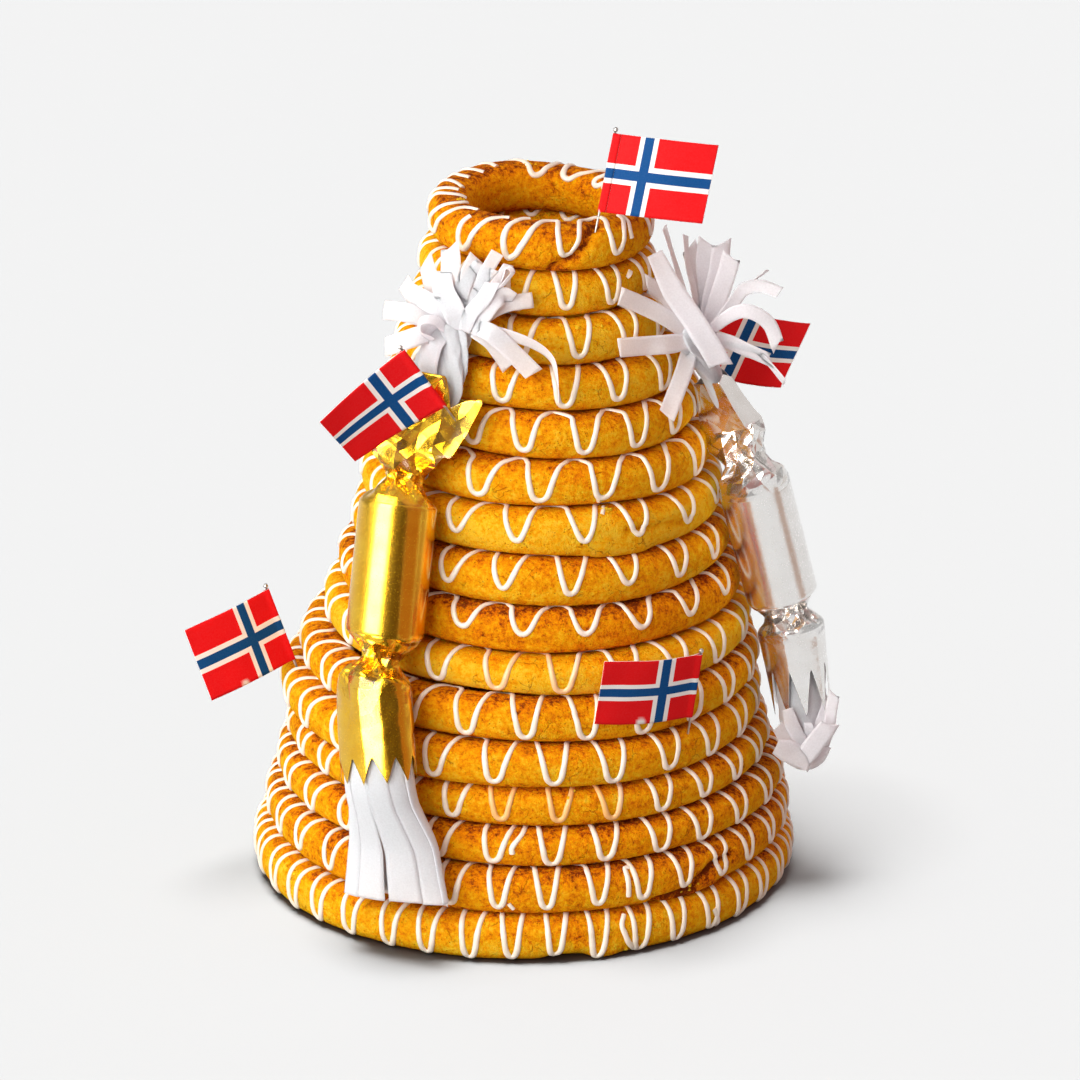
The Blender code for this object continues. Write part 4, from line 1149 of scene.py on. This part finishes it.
silverTissue = {
    "stalk": ((7.3, 6.6, 3.4, 0.0, 0.0, 0.2), (8.0, 6.4, 3.8, 0.1, 0.0, 0.3),
              (8.6, 7.0, 4.0, 0.2, 0.0, 0.5), (9.0, 8.0, 5.0, 0.22, 0.0, 0.8),
              (9.5, 7.0, 4.5, 0.2, 0.0, 0.8), (9.85, 2.0, 1.5, 0.0, 0.0, 0.3)),
    "neck": 8.8, "faces": 14.0,
    "strips": (
        (9.5, 0, 10, -2.5, ((60, 283, 7), (61, 268, 14), (63, 255, 17), (65, 242, 20), (66, 236, 21))),
        (2.5, 10, 30, 1.0, ((73, 247, 10), (74, 263, 11), (74, 277, 10), (74, 290, 6))),
        (3.5, 20, 40, -1.0, ((75, 247, 12), (77, 265, 15), (78, 274, 15), (78, 286, 14))),
        (7.5, 0, 15, 2.5, ((74, 246, 12), (80, 261, 16), (82, 271, 17), (82, 279, 15))),
        (8.5, 10, -10, -2.5, ((75, 246, 13), (80, 262, 19), (81, 274, 22), (81, 282, 23))),
        (8.5, 0, 10, 2.0, ((75, 247, 14), (79, 262, 22), (79, 273, 28), (79, 283, 29))),
        (8.0, -10, -20, -2.0, ((74, 247, 15), (77, 263, 26), (77, 272, 32), (76, 279, 34))),
        (7.0, 0, 15, 2.5, ((67, 246, 12), (65, 258, 9), (65, 264, 6), (58, 270, 4))),
        (7.5, 10, -5, 1.0, ((66, 246, 12), (60, 255, 8), (52, 262, 4), (40, 269, 3))),
        (8.0, 0, 0, 0.5, ((66, 245, 12), (54, 247, 8), (45, 248, 4), (32, 250, 4))),
        (7.5, 0, 10, -1.0, ((66, 247, 12), (61, 234, 7), (56, 225, 4), (49, 218, 4))),
        (3.0, 30, 60, 0.0, ((72, 245, 15), (78, 253, 25), (80, 263, 35), (80, 272, 48))),
        (5.5, 10, -30, 0.0, ((72, 246, 16), (77, 257, 28), (78, 264, 36), (78, 266, 44), (76, 265, 52))),
        (6.0, -10, 20, 3.0, ((70, 247, 16), (72, 256, 30), (73, 257, 38), (74, 252, 43), (74, 243, 44))),
        (6.0, 0, 30, 3.0, ((69, 246, 15), (71, 244, 24), (72, 241, 30), (74, 236, 39))),
        (2.5, 20, 50, 1.0, ((71, 243, 22), (73, 240, 34), (74, 234, 38), (75, 226, 42))),
        (5.0, 0, 40, 2.0, ((69, 246, 13), (70, 239, 14), (71, 239, 18), (71, 243, 22)))),
    "tail": ((0.14, 1.5, 1.0, 0.0, 0.0, 0.3), (0.3, 6.0, 4.4, 0.12, 0.0, 0.8),
             (0.6, 9.6, 7.4, 0.16, 0.0, 1.2), (0.9, 11.6, 8.8, 0.18, 0.0, 1.4),
             (1.3, 12.2, 9.8, 0.14, 0.0, 1.2), (1.7, 11.8, 10.0, 0.05, 0.0, 0.8),
             (2.1, 11.8, 10.2, 0.0, 0.0, 0.3), (2.6, 11.6, 10.2, 0.0, 0.0, 0.2)),
    # ends of the lower tissue, folded up round it
    "folded": (
        (9.5, 10, -25, 1.0, ((67, 69, 12), (68, 67, 15), (69, 65, 18), (70, 63, 21), (70.5, 61, 23))),
        (8.5, -20, 15, 1.5, ((70, 61.5, 20), (70.6, 66, 24), (71.2, 71, 28), (71.8, 75, 31.5),
                             (72.2, 78, 34))),
        (5.0, 20, -30, -2.0, ((73, 66, 29), (73.5, 74, 32), (74, 82, 34), (75, 89, 35))),
        (4.5, -30, 10, 2.0, ((73.5, 67, 26), (74, 75, 28), (75, 82, 31), (75.5, 86, 32))),
        (8.5, 25, -10, 0.5, ((71, 61, 13), (72, 59.5, 19), (73, 61, 23.5), (74, 66, 27))),
        (8.0, -15, 20, 1.0, ((70, 76, 12), (70.5, 71, 15), (71, 66, 19), (71.5, 63, 22))),
        (5.0, 35, 0, 1.5, ((72.5, 77, 24), (72.5, 70, 24), (72, 63, 24))),
        (6.0, 15, -10, 2.0, ((70.5, 84, 17), (70.8, 77, 18), (71, 70, 20), (71.3, 63, 22))),
        (8.0, 180, 200, 1.0, ((82, 62, 8), (85, 66, 10), (87, 72, 12), (87.5, 78, 13))),
        (7.0, 160, 190, 1.0, ((80, 60, 20), (83, 65, 22), (85, 72, 24), (85.5, 78, 25)))),
}

goldFringe = {
    # strips, the places where they start and end, and how uneven their ends are in millimetres
    "count": 10, "top": 2.6, "end": 0.02, "uneven": 2.4, "seed": 5,
    # how each strip swings at its end, in radians round the tube
    "swings": (0.0, -0.04, -0.1, 0.1, 0.18, 0.1, 0.03, 0.55, -0.03, 0.0),
    # place, half width, half depth of the tube that the fringe is cut from
    "tube": ((0.0, 24.6, 6.2), (1.0, 20.8, 7.8), (1.7, 16.0, 9.2), (2.1, 15.6, 10.4), (2.6, 14.4, 11.0)),
}


def tissueMaterial():
    # bleached tissue paper: matt, long soft fibres, thin enough to glow and to take on the colour behind it
    made, tree, shader = newMaterial("bleached tissue paper", {"Roughness": 0.75, "Specular IOR Level": 0.08,
                                                              "Sheen Weight": 0.1, "Subsurface Weight": 0.85,
                                                              "Subsurface Radius": (1.0, 0.9, 0.9),
                                                              "Subsurface Scale": 1.2 * mm})
    place = (put(tree, "ShaderNodeTexCoord"), "Object")
    fibre = put(tree, "ShaderNodeTexNoise", None, {"Vector": place, "Scale": 1 / (0.8 * mm), "Detail": 4.0,
                                                   "Roughness": 0.65})
    tree.links.new(ramp(tree, fibre, ((0.3, "#E9E3E7"), (0.7, "#F3EEF2"))).outputs[0],
                   shader.inputs["Base Color"])
    bump = put(tree, "ShaderNodeBump", None, {"Height": fibre, "Strength": 0.3, "Distance": 0.12 * mm})
    tree.links.new(bump.outputs[0], shader.inputs["Normal"])
    return made


def stripPoints(spec, azimuth, dice):
    # a ribbon of tissue along its way, facing the given azimuth and rolling as it goes
    width, startRoll, endRoll, slant, way = spec
    line = smoothLine([wallPoint(*place) for place in way], 9)
    share = np.linspace(0.0, 1.0, len(line))[:, None]
    ahead = unit(np.gradient(line, axis=0))
    facing = np.array(direction(azimuth, 15.0))
    facing = unit(facing - np.sum(facing * ahead, axis=1, keepdims=True) * ahead)
    across = np.cross(ahead, facing)
    roll = np.radians(startRoll + (endRoll - startRoll) * share)
    facing, across = (facing * np.cos(roll) + across * np.sin(roll),
                      across * np.cos(roll) - facing * np.sin(roll))
    spread = np.linspace(-0.5, 0.5, tissue["columns"])
    fold = tissue["crease"] * dice.uniform(-1.0, 1.0)
    phase = dice.uniform(0.0, 6.0)
    wave = np.sin(9.0 * share + 4.0 * spread + phase) * share
    belly = fold * (1.0 - np.abs(2 * spread)) + tissue["ripple"] * wave
    taper = width * (0.72 + 0.28 * np.clip(share * 4.0, 0.0, 1.0))
    points = (line[:, None] + across[:, None] * (taper * spread)[..., None]
              + facing[:, None] * belly[..., None])
    points[-1] += ahead[-1] * (slant * 2.0 * spread)[:, None]
    return points


def fringePoints(fringe, spine, dice):
    # a tube cut into strips that part and swing a little on their way down
    stations = sorted(fringe["tube"])
    keys = spine.runAt([station[0] for station in stations])
    grids = []
    pitch = 2 * math.pi / fringe["count"]
    for strip in range(fringe["count"]):
        end = spine.runAt(fringe["end"]) + dice.uniform(0.0, fringe["uneven"])
        run = np.linspace(spine.runAt(fringe["top"]), end, 60)[:, None]
        width, depth = (np.interp(run, keys, [station[column] for station in stations]) for column in (1, 2))
        drop = np.clip((run[0, 0] - run) / (run[0, 0] - end) * 1.35 - 0.35, 0.0, 1.0)
        spread = np.linspace(-0.5, 0.5, tissue["columns"]) * 1.07
        swing = fringe["swings"][strip] * np.sin(0.5 * math.pi * drop)
        turn = pitch * (strip + spread + swing)
        bulge = 0.5 * np.sin(3.0 * turn + 4.0 * drop) * drop + 0.24 * (strip % 2)
        point, side, out, up = spine.at(run[:, 0])
        across = (width + bulge) * np.cos(turn)
        away = (depth + bulge) * np.sin(turn)
        grids.append(point[:, None] + across[..., None] * side[:, None] + away[..., None] * out[:, None])
    return grids


def wrapGrid(spine, stations, necks, pleats, step, columns, dice, crease=(9, 6.5)):
    start, end = spine.runAt(stations[0][0]), spine.runAt(stations[-1][0])
    run, turn = np.meshgrid(np.linspace(start, end, round((end - start) / step)),
                            np.arange(columns) * 2 * math.pi / columns, indexing="ij")
    return wrapped(spine, stations, turn, run, dice, necks, pleats, (), crease)


def makeTissue(name, node, loose, tubes):
    # one piece of tissue from loose strips and closed tubes
    grids = [(points, False) for points in loose] + [(points, True) for points in tubes]
    made = gridObject(name, grids, paperTissue)
    made.data.set_sharp_from_angle(angle=math.radians(24))
    thicken(made, tissue["thickness"], 0.0)
    return keep(made, "tissue", node)


paperTissue = tissueMaterial()
for cracker, spine, sheets in ((gold, goldSpine, goldTissue), (silver, silverSpine, silverTissue)):
    dice = random.Random(cracker["seed"] + 1)
    stalk = wrapGrid(spine, sheets["stalk"], (sheets["neck"],), 7, 1.0, 90, dice)
    strips = [stripPoints(spec, sheets["faces"], dice) for spec in sheets["strips"]]
    makeTissue(cracker["name"] + "_tassel", cracker["name"] + "_burst", strips, [stalk])
dice = random.Random(goldFringe["seed"])
makeTissue("gold_cracker_fringe", "gold_cracker_tail", fringePoints(goldFringe, goldSpine, dice), [])
crush = wrapGrid(silverSpine, silverTissue["tail"], (0.9,), 5, 0.8, 110, dice, (8, 6.5))
folded = [stripPoints(spec, silverTissue["faces"], dice) for spec in silverTissue["folded"]]
makeTissue("silver_cracker_fringe", "silver_cracker_tail", folded, [crush])
print("tissue cut")
